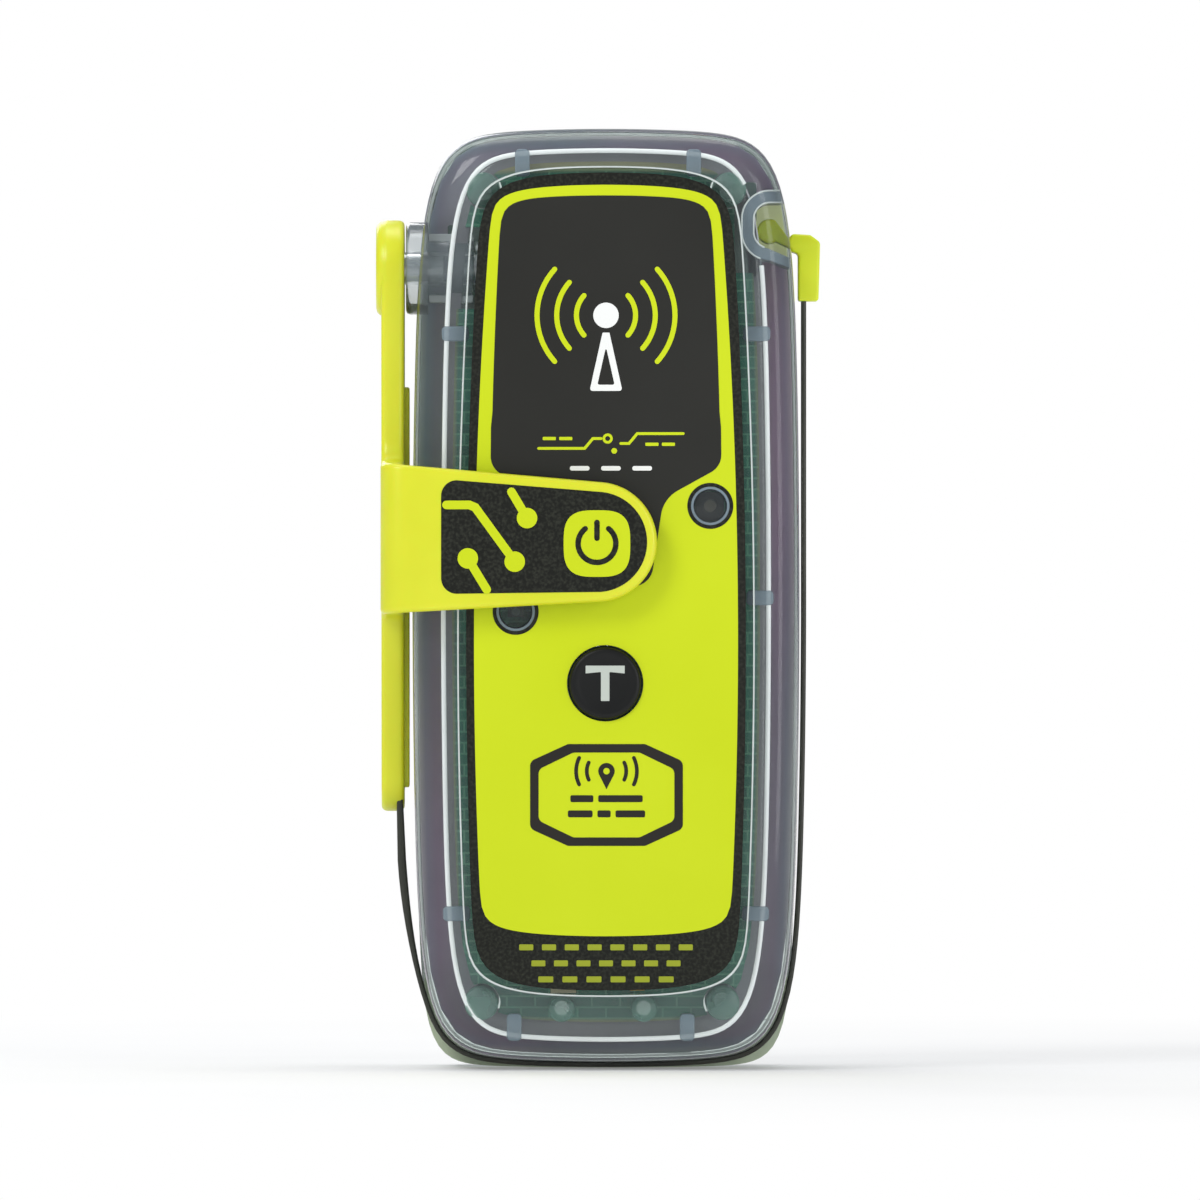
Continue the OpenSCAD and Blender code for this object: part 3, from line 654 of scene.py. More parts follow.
def loft(rings, closed_section=True):
    """Mesh through rings of 3-D points, in millimetres. A closed section joins the last ring to the first."""
    count = len(rings[0])
    verts = [Vector(p) * MM for ring in rings for p in ring]
    faces = []
    last = len(rings) if closed_section else len(rings) - 1
    for r in range(last):
        a, b = r * count, (r + 1) % len(rings) * count
        for i in range(count):
            j = (i + 1) % count
            faces.append((a + i, a + j, b + j, b + i))
    if not closed_section:
        faces.append(tuple(range(count)))
        faces.append(tuple(range((len(rings) - 1) * count, len(rings) * count)))
    mesh = bpy.data.meshes.new("loft")
    mesh.from_pydata(verts, [], faces)
    set_normals(mesh, 1e-8)
    smooth(mesh, 50)
    return mesh


def ring_at(points, y):
    """Points in X and Z as 3-D points at one Y."""
    return [(x, y, z) for x, z in points]


def turns(steps):
    """Angles of even steps round a circle."""
    return [math.tau * i / steps for i in range(steps)]


def bead(name, rule, y, radius, material, steps=8):
    """Round bead along an outline of the case; the rule gives the outline at an inset."""
    rings = [ring_at(rule(radius * math.cos(a)), y + radius * math.sin(a)) for a in turns(steps)]
    return place(loft(rings), name, material, "case")


def bead_along(name, path, y, radius, material, steps=8):
    """Round bead along an open path in X and Z."""
    rings = []
    for i, (x, z) in enumerate(path):
        along = Vector(path[min(i + 1, len(path) - 1)]) - Vector(path[max(i - 1, 0)])
        side = Vector((-along.y, along.x)).normalized() * radius
        rings.append([(x + side.x * math.cos(a), y + radius * math.sin(a), z + side.y * math.cos(a))
                      for a in turns(steps)])
    return place(loft(rings, False), name, material, "case")


def lathe_x(name, profile, centre, material, body, steps=64, **more):
    """Turned shape about an axis along X; the profile is (x, radius) points in a closed loop."""
    rings = [[(x, centre[0] + r * math.cos(a), centre[1] + r * math.sin(a)) for a in turns(steps)]
             for x, r in profile]
    return place(loft(rings), name, material, body, **more)


def lathe_y(name, profile, centre, material, body, steps=64, **more):
    """Turned shape about an axis along Y; the profile is (y, radius) points, from the axis round to it."""
    rings = [[(centre[0] + r * math.cos(a), y, centre[1] + r * math.sin(a)) for a in turns(steps)]
             for y, r in profile]
    return place(loft(rings, False), name, material, body, **more)


def carve(obj, cutters):
    """Cuts solids away from a piece and keeps the result as its mesh."""
    tools = []
    for mesh in cutters:
        tool = in_scene("cutter", mesh)
        tools.append(tool)
        cut = obj.modifiers.new("cut", "BOOLEAN")
        cut.object, cut.operation, cut.solver = tool, "DIFFERENCE", "EXACT"
    mesh = finished_mesh(obj)
    obj.modifiers.clear()
    obj.data = mesh
    for tool in tools:
        bpy.data.objects.remove(tool)
    smooth(mesh, 40)


def rod_mesh(radius, spot, y0, y1, steps=48):
    """Round cutter along Y."""
    return loft([ring_at(circle(spot, radius, steps), y0), ring_at(circle(spot, radius, steps), y1)], False)


def block_mesh(low, high):
    """Square cutter between two corners."""
    corners = [(low[0], low[2]), (high[0], low[2]), (high[0], high[2]), (low[0], high[2])]
    return loft([ring_at(corners, low[1]), ring_at(corners, high[1])], False)


# ---------------------------------------------------------------- case


def front_shell():
    """Clear ring of the front shell: outer wall, rounded shoulder, front face, recess edge and cavity."""
    edge, inner_r = 0.22, 0.9
    seam = SEAM_Y - SEAM_GAP
    rings = [ring_at(case_outline(0.25), seam), ring_at(case_outline(0.07), seam - 0.07),
             ring_at(case_outline(), seam - 0.25)]
    rings += [ring_at(case_outline(SHOULDER * 0.8 * (1 - math.cos(a))),
                      FRONT_Y + SHOULDER * (1 - math.sin(a))) for a in QUARTER]
    rings += [ring_at(recess_outline(-edge), FRONT_Y),
              ring_at(recess_outline(-edge * 0.3), FRONT_Y + edge * 0.3),
              ring_at(recess_outline(), FRONT_Y + edge), ring_at(recess_outline(), INNER_Y)]
    rings += [ring_at(cavity_outline(inner_r * (1 - math.sin(a))), INNER_Y + inner_r * (1 - math.cos(a)))
              for a in QUARTER[::2]]
    rings.append(ring_at(cavity_outline(), seam))
    return place(loft(rings), "shell_front", "clear_front", "case",
                 slot="clear_front", stands_for=("front_shell",))


def front_pane():
    """Clear floor of the label recess, with the two button wells, and a painted highlight round the recess
    edge.
    """
    wells = [circle(s, CAP_R + 0.2) for s in (TEST_SPOT, POWER_SPOT)]
    plate("shell_pane", [recess_outline(0.03)] + wells, RECESS_Y, INNER_Y, "clear_pane", bevel=0.04)
    # Painted highlight: a glowing pale bead round the recess edge, where its rim catches light
    bead("recess_edge_highlight", lambda inset: recess_outline(-0.1 + inset), FRONT_Y + 0.12, 0.11, "edge_soft")


def edge_highlights():
    """Painted highlights as glowing pale beads: one along the radius where the cavity meets the front wall,
    broken by the tip's pocket, and one along a rim at the case's outer edge.
    """
    radius, below, above = 0.3, 4, 3.6
    path = cavity_outline(0.08)
    gap = [i for i, (x, z) in enumerate(path) if x > 0 and -below < z - POCKET[1] < above]
    path = path[gap[-1] + 1:] + path[:gap[0]]
    # Painted highlight: a glowing white bead along the cavity's inner radius
    bead_along("cavity_edge_highlight", path, INNER_Y + 0.3, radius, "edge_light", 10)
    # Painted highlight: a glowing pale bead at the case's outer edge, near the seam
    bead("shell_rim_highlight", lambda inset: case_outline(0.3 + inset), SEAM_Y - 0.6, 0.14, "edge_soft")


def backing():
    """Ledge and webs behind the board's edge, the tip's pocket and the hinge tube."""
    back = BOARD_BACK + 0.05
    plate("board_seat", [cavity_outline(-0.05), cavity_outline(1.6, 2.4)], back, BOARD_BACK + 0.9,
          "seat_grey", bevel=0.05)
    plate("pocket_web", [bar(15.4, 18.4, 39.4, 51.0, 0.3)], back, BOARD_BACK + 0.6, "seat_green", bevel=0.05)
    half = 5.4
    plate("hinge_web", [bar(-19.4, -14.6, HINGE[2] - half, HINGE[2] + half, 0.3)],
          HINGE[1] + 4.5, HINGE[1] + 5.0, "seat_green", bevel=0.05)


def gussets():
    """Short ribs that tie the walls to the front wall, crossing the painted highlight along the cavity edge.
    """
    long, wide, deep = 3.3, 1.8, 3.4
    spots = []
    for z in GUSSET_Z:
        x = CASE_HALF * 0.999 - WALL - long / 2 + 0.55 - SIDE_BOW * CASE_HALF * (z / 57) ** 2
        spots += [(-x, z, long, wide), (x, z, long, wide)]
    spots += [(x, CASE_TOP - END_WALL - long / 2 + 0.1, wide, long) for x in GUSSET_TOP_X]
    spots += [(x, CASE_FOOT + END_WALL + long / 2 - 0.1, wide, long) for x in GUSSET_FOOT_X]
    for n, (x, z, w, h) in enumerate(spots):
        plate(f"gusset_{n + 1}", [bar(x - w / 2, x + w / 2, z - h / 2, z + h / 2, 0.5)],
              INNER_Y - 0.15, INNER_Y + deep, "milky_blue", bevel=0.2)


def posts():
    """Screw posts and locating pins of the front shell, as milky clear rods."""
    front, face = INNER_Y + 0.02, BOARD_FACE - 0.1
    screw = [(front, 0.01), (front, 1.8), (INNER_Y + 0.3, POST_R), (SEAM_Y, POST_R), (SEAM_Y, 0.01)]
    pin = [(front, 0.01), (front, 1.4), (INNER_Y + 0.2, 1.6), (face, 1.6), (face, 0.8),
           (BOARD_FACE + 1, 0.75), (BOARD_FACE + 1, 0.01)]
    for name, spots, profile in (("screw_post", SCREW_SPOTS, screw), ("locating_pin", PIN_SPOTS, pin)):
        for n, spot in enumerate(spots):
            lathe_y(f"{name}_{n + 1}", profile, spot, "post_green", "case")


def hinge_housing():
    """Clear boss outside the wall and bearing tube inside it, with two white bands near the tube's top and
    bottom that are painted highlights.
    """
    centre = (HINGE[1], HINGE[2])
    out, face_r, tube_r, bore = SHELL_LOW.x, 5.65, 4.25, 2.06
    root = -CASE_HALF + WALL / 2
    lathe_x("hinge_boss", [(out, bore), (out, face_r - 0.5), (out + 0.15, face_r - 0.15), (out + 0.5, face_r),
                           (root, face_r), (root, bore)],
            centre, "clear_boss", "case")
    end = node_box("hinge_clip")[0].x - 0.2
    lathe_x("hinge_tube", [(root + 0.02, bore), (root + 0.02, tube_r), (end - 0.3, tube_r),
                           (end, tube_r - 0.3), (end, bore)],
            centre, "clear_boss", "case")
    # Painted highlights: two white bands near the top and bottom of the tube, where a clear tube would shine
    for n, side in enumerate((-1, 1)):
        z = HINGE[2] + side * (tube_r - 0.55)
        plate(f"hinge_highlight_band_{n + 1}", [bar(root + 0.1, end - 0.1, z - 0.5, z + 0.5, 0.2)],
              HINGE[1] - 2.6, HINGE[1] + 2.6, "milky_white", bevel=0.1)


def within_case(points):
    """Points in X and Z, held inside the case's right wall."""
    held = []
    for x, z in points:
        v = abs(z - CASE_MIDDLE) / CASE_REACH
        wall = CASE_HALF * (1 - v ** CORNER_POWER) ** (1 / CORNER_POWER) * (1 - SIDE_BOW * v * v)
        held.append((min(x, wall - 0.45), z))
    return held


def tip_pocket():
    """Milky wall round the hooked tip, curling in from the case wall above it and out again below, with a
    floor given a painted glow and painted highlight lines along the wall.
    """
    wall_w, r, low_z, reach = 1.45, 2.0, 43.0, CASE_HALF + 1
    centre = (POCKET[0] + 0.1, POCKET[1])
    foot = (centre[0], low_z + r - 0.2)

    def curl(radius, last, start_x=reach, top_steps=16):
        """In from the right at the top, round the left, and under to an angle."""
        return [(start_x, centre[1] + radius)] + arc(centre, radius, 90, 180, top_steps) \
            + arc(foot, radius, 180, last, 14)

    big = r + wall_w
    inner = curl(r, 262) + [(reach, 41.7)]
    outer = [(reach, 40.4)] + arc(foot, big, 268, 180, 16) + arc(centre, big, 180, 90, 18)
    outer.append((reach, centre[1] + big))
    plate("tip_pocket", [within_case(inner + outer)], INNER_Y + 0.02, SEAM_Y - 0.5, "milky_blue", bevel=0.15)
    # The pocket floor glows: painted light over the shade in the pocket
    floor = curl(r - 0.05, 262) + [(reach, 41.9)]
    plate("pocket_floor", [within_case(floor)], TIP_HIGH.y + 0.2, TIP_HIGH.y + 0.7, "pocket_pale", bevel=0.1)
    # Painted highlights: glowing pale lines along the pocket wall's edges
    for n, radius in enumerate((r, big)):
        path = within_case(curl(radius, 250, reach - 1.4, 20))
        bead_along(f"pocket_line_{n + 1}", path, INNER_Y - 0.05, 0.11, "edge_soft")


def rear_shell():
    """Clear rear half with its rounded edge, label recess, screw wells, lanyard lug and clip holes."""
    outer = [ring_at(rear_outline(0.2), SPLIT_Y), ring_at(rear_outline(), SPLIT_Y + 0.2)]
    outer += [ring_at(rear_outline(REAR_EDGE * (1 - math.cos(a))), -REAR_EDGE * (1 - math.sin(a)))
              for a in QUARTER]
    body = place(loft(outer, False), "shell_rear", "clear_rear", "case",
                 slot="clear_rear", stands_for=("rear_shell",))
    floor_z, well_r, bore_r, past = -46.8, 2.1, 1.15, 1
    hollow = [(x, max(z, floor_z)) for x, z in cavity_outline()]
    cutters = [loft([ring_at(hollow, -REAR_WALL), ring_at(hollow, SPLIT_Y - 1)], False)]
    for spot in SCREW_SPOTS:
        cutters += [rod_mesh(well_r, spot, past, -1.7), rod_mesh(bore_r, spot, 0, SPLIT_Y - 1)]
    cutters += [rod_mesh(CLIP_HOLE_R, (0, z), past, -2.0) for z in CLIP_HOLE_Z]
    low, high = node_box("rear_label")
    cutters.append(block_mesh((low.x - 0.2, low.y, low.z - 0.2), (high.x + 0.2, past, high.z + 0.2)))
    lug_front, lug_top, below = -7.5, -51.8, -70
    for left, right in ((3.3, 7.5), (10.5, 40)):
        cutters.append(block_mesh((left, lug_front, below), (right, past, lug_top)))
    cutters.append(loft([[(x, EYE_Y + EYE_R * math.cos(a), EYE_Z + EYE_R * math.sin(a)) for a in turns(40)]
                         for x in (6.5, 11.5)], False))
    carve(body, cutters)
    bore = 1.2
    post = [(-1.9, bore), (-1.9, POST_R), (SPLIT_Y, POST_R), (SPLIT_Y, bore), (-1.95, bore)]
    for n, spot in enumerate(SCREW_SPOTS):
        lathe_y(f"rear_post_{n + 1}", post, spot, "milky_pale", "case")
    boss = [(-2.15, CLIP_HOLE_R), (-2.15, 2.3), (-5.0, 2.3), (-5.2, 2.1), (-5.2, 0.01)]
    for n, z in enumerate(CLIP_HOLE_Z):
        lathe_y(f"clip_boss_{n + 1}", boss, (0, z), "milky_green", "case")


def guard_lips():
    """Thin lips of the rear shell outside the lower corners, behind the blade."""
    inner, outer = case_outline(-0.1), guard_outline()
    thinnest, highest = 0.12, -44
    runs, run = [], []
    for near, far in zip(inner, outer):
        if Vector(far).length - Vector(near).length > thinnest and near[1] < highest:
            run.append((near, far))
        elif run:
            runs.append(run)
            run = []
    for n, run in enumerate(runs):
        loop = [near for near, _ in run] + [far for _, far in reversed(run)]
        plate(f"guard_lip_{n + 1}", [loop], SPLIT_Y - 3, SPLIT_Y - 0.02, "milky_green", bevel=0.04)


# ---------------------------------------------------------------- printed label


def label():
    """Black film with its lime panel, its dark upper window and the rims of the two light windows."""
    lights = (STROBE_SPOT, STATUS_SPOT)
    holes = [circle(spot, CAP_R + 0.25) for spot in (TEST_SPOT, POWER_SPOT)]
    windows = [circle(spot, WINDOW_R) for spot in lights]
    plate("label_base", [recess_outline(0.9, 0.6)] + holes + windows, LABEL_Y, RECESS_Y, "black_border",
          slot="label", stands_for=("front_label",), bevel=0.03)
    rims = [circle(spot, WINDOW_R + 0.42) for spot in lights]
    panel = stretched(unit_frame(6, 46), 16.0, 50.5, -41.0, 0.096, 0.02, 0.042)
    ink("label_lime", [panel] + holes + rims, 1, "lime")
    window_foot = 22
    upper = [p for p in stretched(unit_frame(6, 50), 14.05, 49.2, -40, 0.095, 0.012) if p[1] > window_foot]
    lower = rounded([(-14.0, 21.0, 0), (-14.05, 16.0, 2.4), (-7.4, 12.3, 3.4), (-6.6, 1.6, 2.5),
                     (5.4, 1.6, 2.5), (7.0, 12.3, 4.0), (14.05, 16.2, 2.4), (14.0, 21.0, 0)], 10)
    ink("label_window", [upper + lower, holes[1]], 2, "window_black")
    for n, (spot, lamp_t) in enumerate(zip(lights, (1.7, 1.0))):
        ink(f"window_rim_{n + 1}", [circle(spot, WINDOW_R + 0.45), circle(spot, WINDOW_R)], 2, "black_border")
        ink(f"lens_rim_{n + 1}", [circle(spot, WINDOW_R), circle(spot, WINDOW_R - 0.3)], 1, "milky_blue")
        loops = [circle(spot, WINDOW_R - 0.02), circle(spot, WINDOW_R - 0.45)]
        plate(f"light_well_{n + 1}", loops, INNER_Y + 0.05, BOARD_FACE - lamp_t, "well")


def waves(name, centre, radii, spread, width, level, material, steps):
    """Arcs on both sides of a centre, one printed piece each."""
    for n, radius in enumerate(radii):
        for side, angle in (("right", 0), ("left", 180)):
            path = arc(centre, radius, angle - spread, angle + spread, steps)
            ink(f"{name}_{n + 1}_{side}", [stroke(path, width)], level, material)


def beacon_symbol():
    """Generic radio symbol: a mast with a dot and waves on both sides."""
    cz, level = 33.4, 3
    dot = (0.0, cz + 1.2)
    waves("wave", dot, (3.6, 6.0, 8.4), 42, 0.62, level, "lime", 20)
    ink("beacon_dot", [circle(dot, 1.55)], level, "white_ink")
    mast = [(-0.42, cz - 0.9, 0.1), (0.42, cz - 0.9, 0.1), (2.0, cz - 8.0, 0.3), (-2.0, cz - 8.0, 0.3)]
    inner = [(0.0, cz - 2.6, 0.1), (1.05, cz - 7.25, 0.2), (-1.05, cz - 7.25, 0.2)]
    ink("beacon_mast", [rounded(mast, 4), rounded(inner, 4)], level, "white_ink")


def name_line():
    """Plain ruled ornament and three marks where a maker would print a name."""
    cz, level, width = 19.3, 3, 0.34
    for side, path in (("left", [(-8.2, -0.9), (-2.6, -0.9), (-1.6, 0.3), (-0.6, 0.3)]),
                       ("right", [(9.4, 0.9), (3.8, 0.9), (2.8, -0.3), (1.8, -0.3)])):
        ink(f"rule_{side}", [stroke([(x, cz + z) for x, z in path], width)], level, "lime")
    ink("rule_dot_1", [circle((0.2, cz + 0.3), 0.62), circle((0.2, cz + 0.3), 0.3)], level, "lime")
    ink("rule_dot_2", [circle((1.0, cz - 1.2), 0.35)], level, "lime")
    for n, (x, z) in enumerate(((-6.9, 0.1), (-4.9, 0.1), (5.6, -0.6), (7.6, -0.6))):
        ink(f"rule_bar_{n + 1}", [bar(x - 0.8, x + 0.8, cz + z, cz + z + 0.4, 0.1)], level, "lime")
    for n, x in enumerate((-3.2, 0.6, 4.4)):
        ink(f"mark_{n + 1}", [bar(x - 1.2, x + 1.2, 15.7, 16.25, 0.25)], level, "white_ink")


def sky_panel():
    """Eight-sided frame with a pin between waves, and two rows of plain bars."""
    cx, cz, level = 0.06, -23.8, 2
    half_w, half_h, cut_w, cut_h, line = 9.3, 6.2, 4.6, 2.1, 1.03

    def frame_loop(inset):
        w, h = half_w - inset, half_h - inset
        a, b = cut_w - inset * 0.35, cut_h - inset * 0.05
        corners = [(-w, b - h), (a - w, -h), (w - a, -h), (w, b - h)]
        corners += [(x, -z) for x, z in reversed(corners)]
        return rounded([(cx + x, cz + z, 0.9) for x, z in corners], 6)

    ink("sky_frame", [frame_loop(0), frame_loop(line)], level, "octagon_ink")
    pin = (cx, cz + 2.9)
    drop = arc(pin, 1.0, -30, 210, 20) + [(pin[0], pin[1] - 2.2)]
    ink("sky_pin", [drop, circle(pin, 0.4, 24)], level, "octagon_ink")
    waves("sky_wave", pin, (2.4, 3.7), 26, 0.45, level, "octagon_ink", 12)
    half = 0.42
    spans = [(-0.45, -4.4, -1.6), (-0.45, -1.0, 4.4), (-2.3, -4.7, -1.7), (-2.3, -1.1, 0.5), (-2.3, 1.1, 4.7)]
    for n, (z, a, b) in enumerate(spans):
        z += cz
        ink(f"sky_bar_{n + 1}", [bar(cx + a, cx + b, z - half, z + half, 0.2)], level, "octagon_ink")


def foot_marks():
    """Three rows of small bars in the black foot of the label."""
    share, tall = 0.31, 0.36
    for row, (z, half, count) in enumerate(((-42.35, 11.1, 8), (-44.3, 9.6, 7), (-46.25, 8.8, 6))):
        step = 2 * half / count
        middles = [-half + step * (i + 0.5) for i in range(count)]
        loops = [bar(x - step * share, x + step * share, z - tall, z + tall, 0.12) for x in middles]
        ink(f"foot_marks_{row + 1}", loops, 1, "dim_lime")


def power_symbol(name, spot, radius, width, level, material, body, base):
    """Broken ring with a short line through its gap."""
    gap = 38
    ring = arc(spot, radius, 90 + gap, 450 - gap, 30)
    line = [(spot[0], spot[1] + radius * share) for share in (0.28, 1.12)]
    for part, path in (("ring", ring), ("line", line)):
        ink(f"{name}_{part}", [stroke(path, width)], level, material, body, base)


def buttons():
    """Two soft caps with a turned rim, one with a T for test and one with a power symbol."""
    stem_r, skirt, print_in = 1.6, 1.75, 0.13
    rim = [(0.14, 1.5), (0.08, 1.1), (0, 0.7), (0.02, 0.4), (0.16, 0.14), (0.5, 0), (1.5, 0), (skirt, 0.25)]
    print_y = {}
    for name, spot in (("test_button", TEST_SPOT), ("power_button", POWER_SPOT)):
        low, high = node_box(name)
        top = low.y
        print_y[name] = top + print_in
        profile = [(top + 0.12, 0.01)] + [(top + y, CAP_R - inset) for y, inset in rim]
        profile += [(top + skirt, stem_r), (high.y, stem_r), (high.y, 0.01)]
        cap = name.replace("button", "cap")
        lathe_y(cap, profile, spot, "cap_black", name, slot="button", stands_for=(name,))
    right = [(2.38, 2.15, 0.05), (2.38, 1.2, 0.05), (0.52, 1.38, 0.1), (0.52, -2.15, 0.05)]
    left = [(-x, z, r) for x, z, r in reversed(right)]
    letter = [(TEST_SPOT[0] + x, TEST_SPOT[1] + z, r) for x, z, r in left[-1:] + right + left[:-1]]
    body = "test_button"
    ink("test_mark", [rounded(letter, 3)], 1, "mark_white", body, print_y[body])
    body = "power_button"
    power_symbol("power_mark", POWER_SPOT, 2.0, 0.5, 1, "mark_white", body, print_y[body])


# ---------------------------------------------------------------- arm


def arm():
    """Side plate and flap as one sheet, drawn flat and turned round the corner."""
    bend_r, plate_t, flap_t = 3.0, 2.8, 2.3
    out_x = -27.45
    cx, cy = out_x + bend_r, FLAP_Y + bend_r
    turn = bend_r * math.pi / 2
    end_r, hub, hub_r, foot_r = 7.3, (HINGE[1], HINGE[2]), 5.9, 4.2
    foot = (-20.0, ARM_LOW.z + foot_r)
    top, low = 16.7, -1.8

    def flat(y):
        return -(turn + y - cy)

    def flat_arc(centre, r, a, b):
        return [(flat(y), z) for y, z in arc(centre, r, a, b, 30)]

    edge_top, edge_low = -26.6, -25.4
    corner = [(2.6, 0), (1.1, 0.35), (0.3, 1.2), (0, 2.8)]
    loop = arc((FLAP_END[0] - cx, FLAP_END[1]), end_r, -86, 84, 36)
    loop += [(-2.0, top - 0.15), (-turn, top)]
    loop += [(flat(edge_top - across), top + along) for across, along in corner]
    loop += flat_arc(hub, hub_r, 178, -2)
    loop += flat_arc(foot, foot_r, 2, -182)
    loop += [(flat(edge_low - across), low - along) for across, along in reversed(corner)]
    loop += [(-turn, low), (-2.0, low + 0.1)]
    mesh = curve_mesh([loop], 2.0, 0.55)
    work = bmesh.new()
    work.from_mesh(mesh)
    bend_cuts = [-turn * k / 14 for k in range(15)]
    for u in bend_cuts + [4, 8, 12, 16, 20, -8, -12, -16]:
        geometry = work.verts[:] + work.edges[:] + work.faces[:]
        bmesh.ops.bisect_plane(work, geom=geometry, plane_co=(u, 0, 0), plane_no=(1, 0, 0), dist=1e-6)
    work.to_mesh(mesh)
    work.free()

    def fold(u, z, c):
        """From the flat sheet, whose thickness runs from -1 to 1 with 1 outside, to its place on the arm."""
        depth = (1 - c) / 2
        if u >= 0:
            return (cx + u, FLAP_Y + depth * flap_t, z)
        if u <= -turn:
            return (out_x + depth * plate_t, cy - u - turn, z)
        a = -u / bend_r
        thick = flap_t + (plate_t - flap_t) * a / (math.pi / 2)
        r = bend_r - depth * thick
        return (cx - r * math.sin(a), cy - r * math.cos(a), z)

    place(map_mesh(mesh, fold), "arm_sheet", "yellow", "arm", slot="yellow", stands_for=("antenna_arm",))
    face, root = ARM_LOW.x, out_x + 0.6
    boss = [(face, 0.01), (face, hub_r - 1.0), (face + 0.12, hub_r - 0.55), (face + 0.45, hub_r - 0.2),
            (root, hub_r - 0.05), (root, 0.01)]
    lathe_x("arm_hub", boss, hub, "yellow", "arm", slot="yellow")
    rib, back = bar(-22.6, -17.6, -23.0, 26.0, 1.2, 8), out_x + plate_t
    side_plate("arm_rib", [rib], back - 0.3, back + 0.6, "yellow", "arm", bevel=0.25, slot="yellow")


def inlay():
    """Black film on the flap with a lime key, its power symbol and three plain tracks."""
    inner_x, corner_r, top, low = INLAY_LOW.x + 1.9, 1.9, 12.6, 2.6
    loop = arc(FLAP_END, 6.1, -85, 84, 32)
    loop += arc((inner_x, top), corner_r, 92, 180, 10) + arc((inner_x, low), corner_r, 180, 268, 10)
    film = ink("inlay_film", [loop], 1, "black_border", "arm", FLAP_Y)
    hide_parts("flap_inlay")
    key, key_half = (-1.1, 6.8), 4.05
    pad = [(key[0] + key_half * u, key[1] + key_half * v) for u, v in unit_box(3.2, 72)]
    ink("flap_key", [pad], 2, "lime", "arm", FLAP_Y)
    power_symbol("flap_power", key, 2.3, 0.66, 3, "black_border", "arm", FLAP_Y)
    tracks = ([(-19.4, 11.5), (-16.6, 11.5), (-15.9, 11.2), (-11.1, 4.6)],
              [(-11.5, 13.1), (-9.6, 9.9)], [(-14.5, 1.2), (-16.8, 5.0)])
    for n, path in enumerate(tracks):
        ink(f"track_{n + 1}", [stroke(path, 1.05)], 2, "lime", "arm", FLAP_Y)
        ink(f"track_pad_{n + 1}", [circle(path[-1], 1.25, 32)], 3, "lime", "arm", FLAP_Y)


# ---------------------------------------------------------------- blade and tip


def blade_path():
    """Centre line of the blade from the arm's foot, round under the case, to the clip at the right."""
    off, pitch, right_top, left_top, merge_z, merge_span = 0.6, 2, 0.6, -30, -26, 25
    wrap = case_outline(-off)
    right = sorted((p for p in wrap if p[0] > 0 and p[1] <= right_top), key=from_left)
    left = sorted((p for p in wrap if p[0] <= 0 and p[1] < left_top), key=from_left)
    arm_x = (ROOT_LOW.x + ROOT_HIGH.x) / 2
    path = [(arm_x, ROOT_HIGH.z - 0.2 - 1.5 * i) for i in range(6)]
    for x, z in left:
        w = eased(min(1, max(0, (merge_z - z) / merge_span)) if x < -15 else 1)
        path.append((arm_x + (x - arm_x) * w, z))
    path += right
    clip_z, z = TIP_LOW.z + 3, right[-1][1]
    while z < clip_z - pitch:
        z += pitch
        path.append((CASE_HALF + off, z))
    path.append((CASE_HALF + off, clip_z))
    return path


def from_left(point):
    """Angle of a point about the middle, counted from straight left through straight down."""
    return (math.atan2(point[1], point[0]) + 1.5 * math.pi) % math.tau


def nearest(path, spot):
    """Index of the path's point nearest to a spot."""
    return min(range(len(path)), key=lambda i: (Vector(path[i]) - Vector(spot)).length)


def strip_mesh(path, thick, swell):
    """Thin strip along a path in X and Z, a little thicker where it springs free of the case at the left."""
    soft, free_z, free_span = 0.12, -33, 14
    low_y, high_y = ROOT_LOW.y, ROOT_HIGH.y
    rings = []
    for i, (x, z) in enumerate(path):
        free = max(0, 1 - abs(z - free_z) / free_span) if x < 0 else 0
        half = (thick + swell * eased(free)) / 2
        along = (Vector(path[min(len(path) - 1, i + 1)]) - Vector(path[max(0, i - 1)])).normalized()
        side = Vector((-along.y, along.x))
        near = [(-half, low_y + soft), (-half + soft, low_y), (half - soft, low_y), (half, low_y + soft)]
        far = [(half, high_y - soft), (half - soft, high_y), (-half + soft, high_y), (-half, high_y - soft)]
        rings.append([(x + side.x * s, y, z + side.y * s) for s, y in near + far])
    return loft(rings, False)


def blade():
    """The flexible strip in four pieces, cut midway between the bend joints so that each spans one."""
    path = blade_path()
    bends = [j for j in frame["joints"] if j["name"].startswith("blade_bend")]
    spots = [(1000 * j["pos_m"][0], 1000 * j["pos_m"][2]) for j in bends]
    cuts = [0] + [nearest(path, ((a[0] + b[0]) / 2, (a[1] + b[1]) / 2)) for a, b in zip(spots, spots[1:])]
    cuts.append(len(path) - 1)
    reach, under = 16, 8
    zones = [((spots[0][0], spots[0][1] + reach), path[cuts[1]]),
             (path[cuts[1]], (spots[1][0] + under, spots[1][1])),
             ((spots[2][0] - under, spots[2][1]), path[cuts[3]]),
             (path[cuts[3]], (spots[3][0], spots[3][1] + reach))]
    for n, (joint, zone) in enumerate(zip(bends, zones)):
        nodes = [f"blade_link_{n + 1}"] if n else ["blade_root", "blade_link_1"]
        piece = place(strip_mesh(path[cuts[n]:cuts[n + 1] + 1], 0.6, 0.4), f"blade_{n + 1}", "blade", None,
                      slot="blade", stands_for=nodes)
        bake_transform(piece)


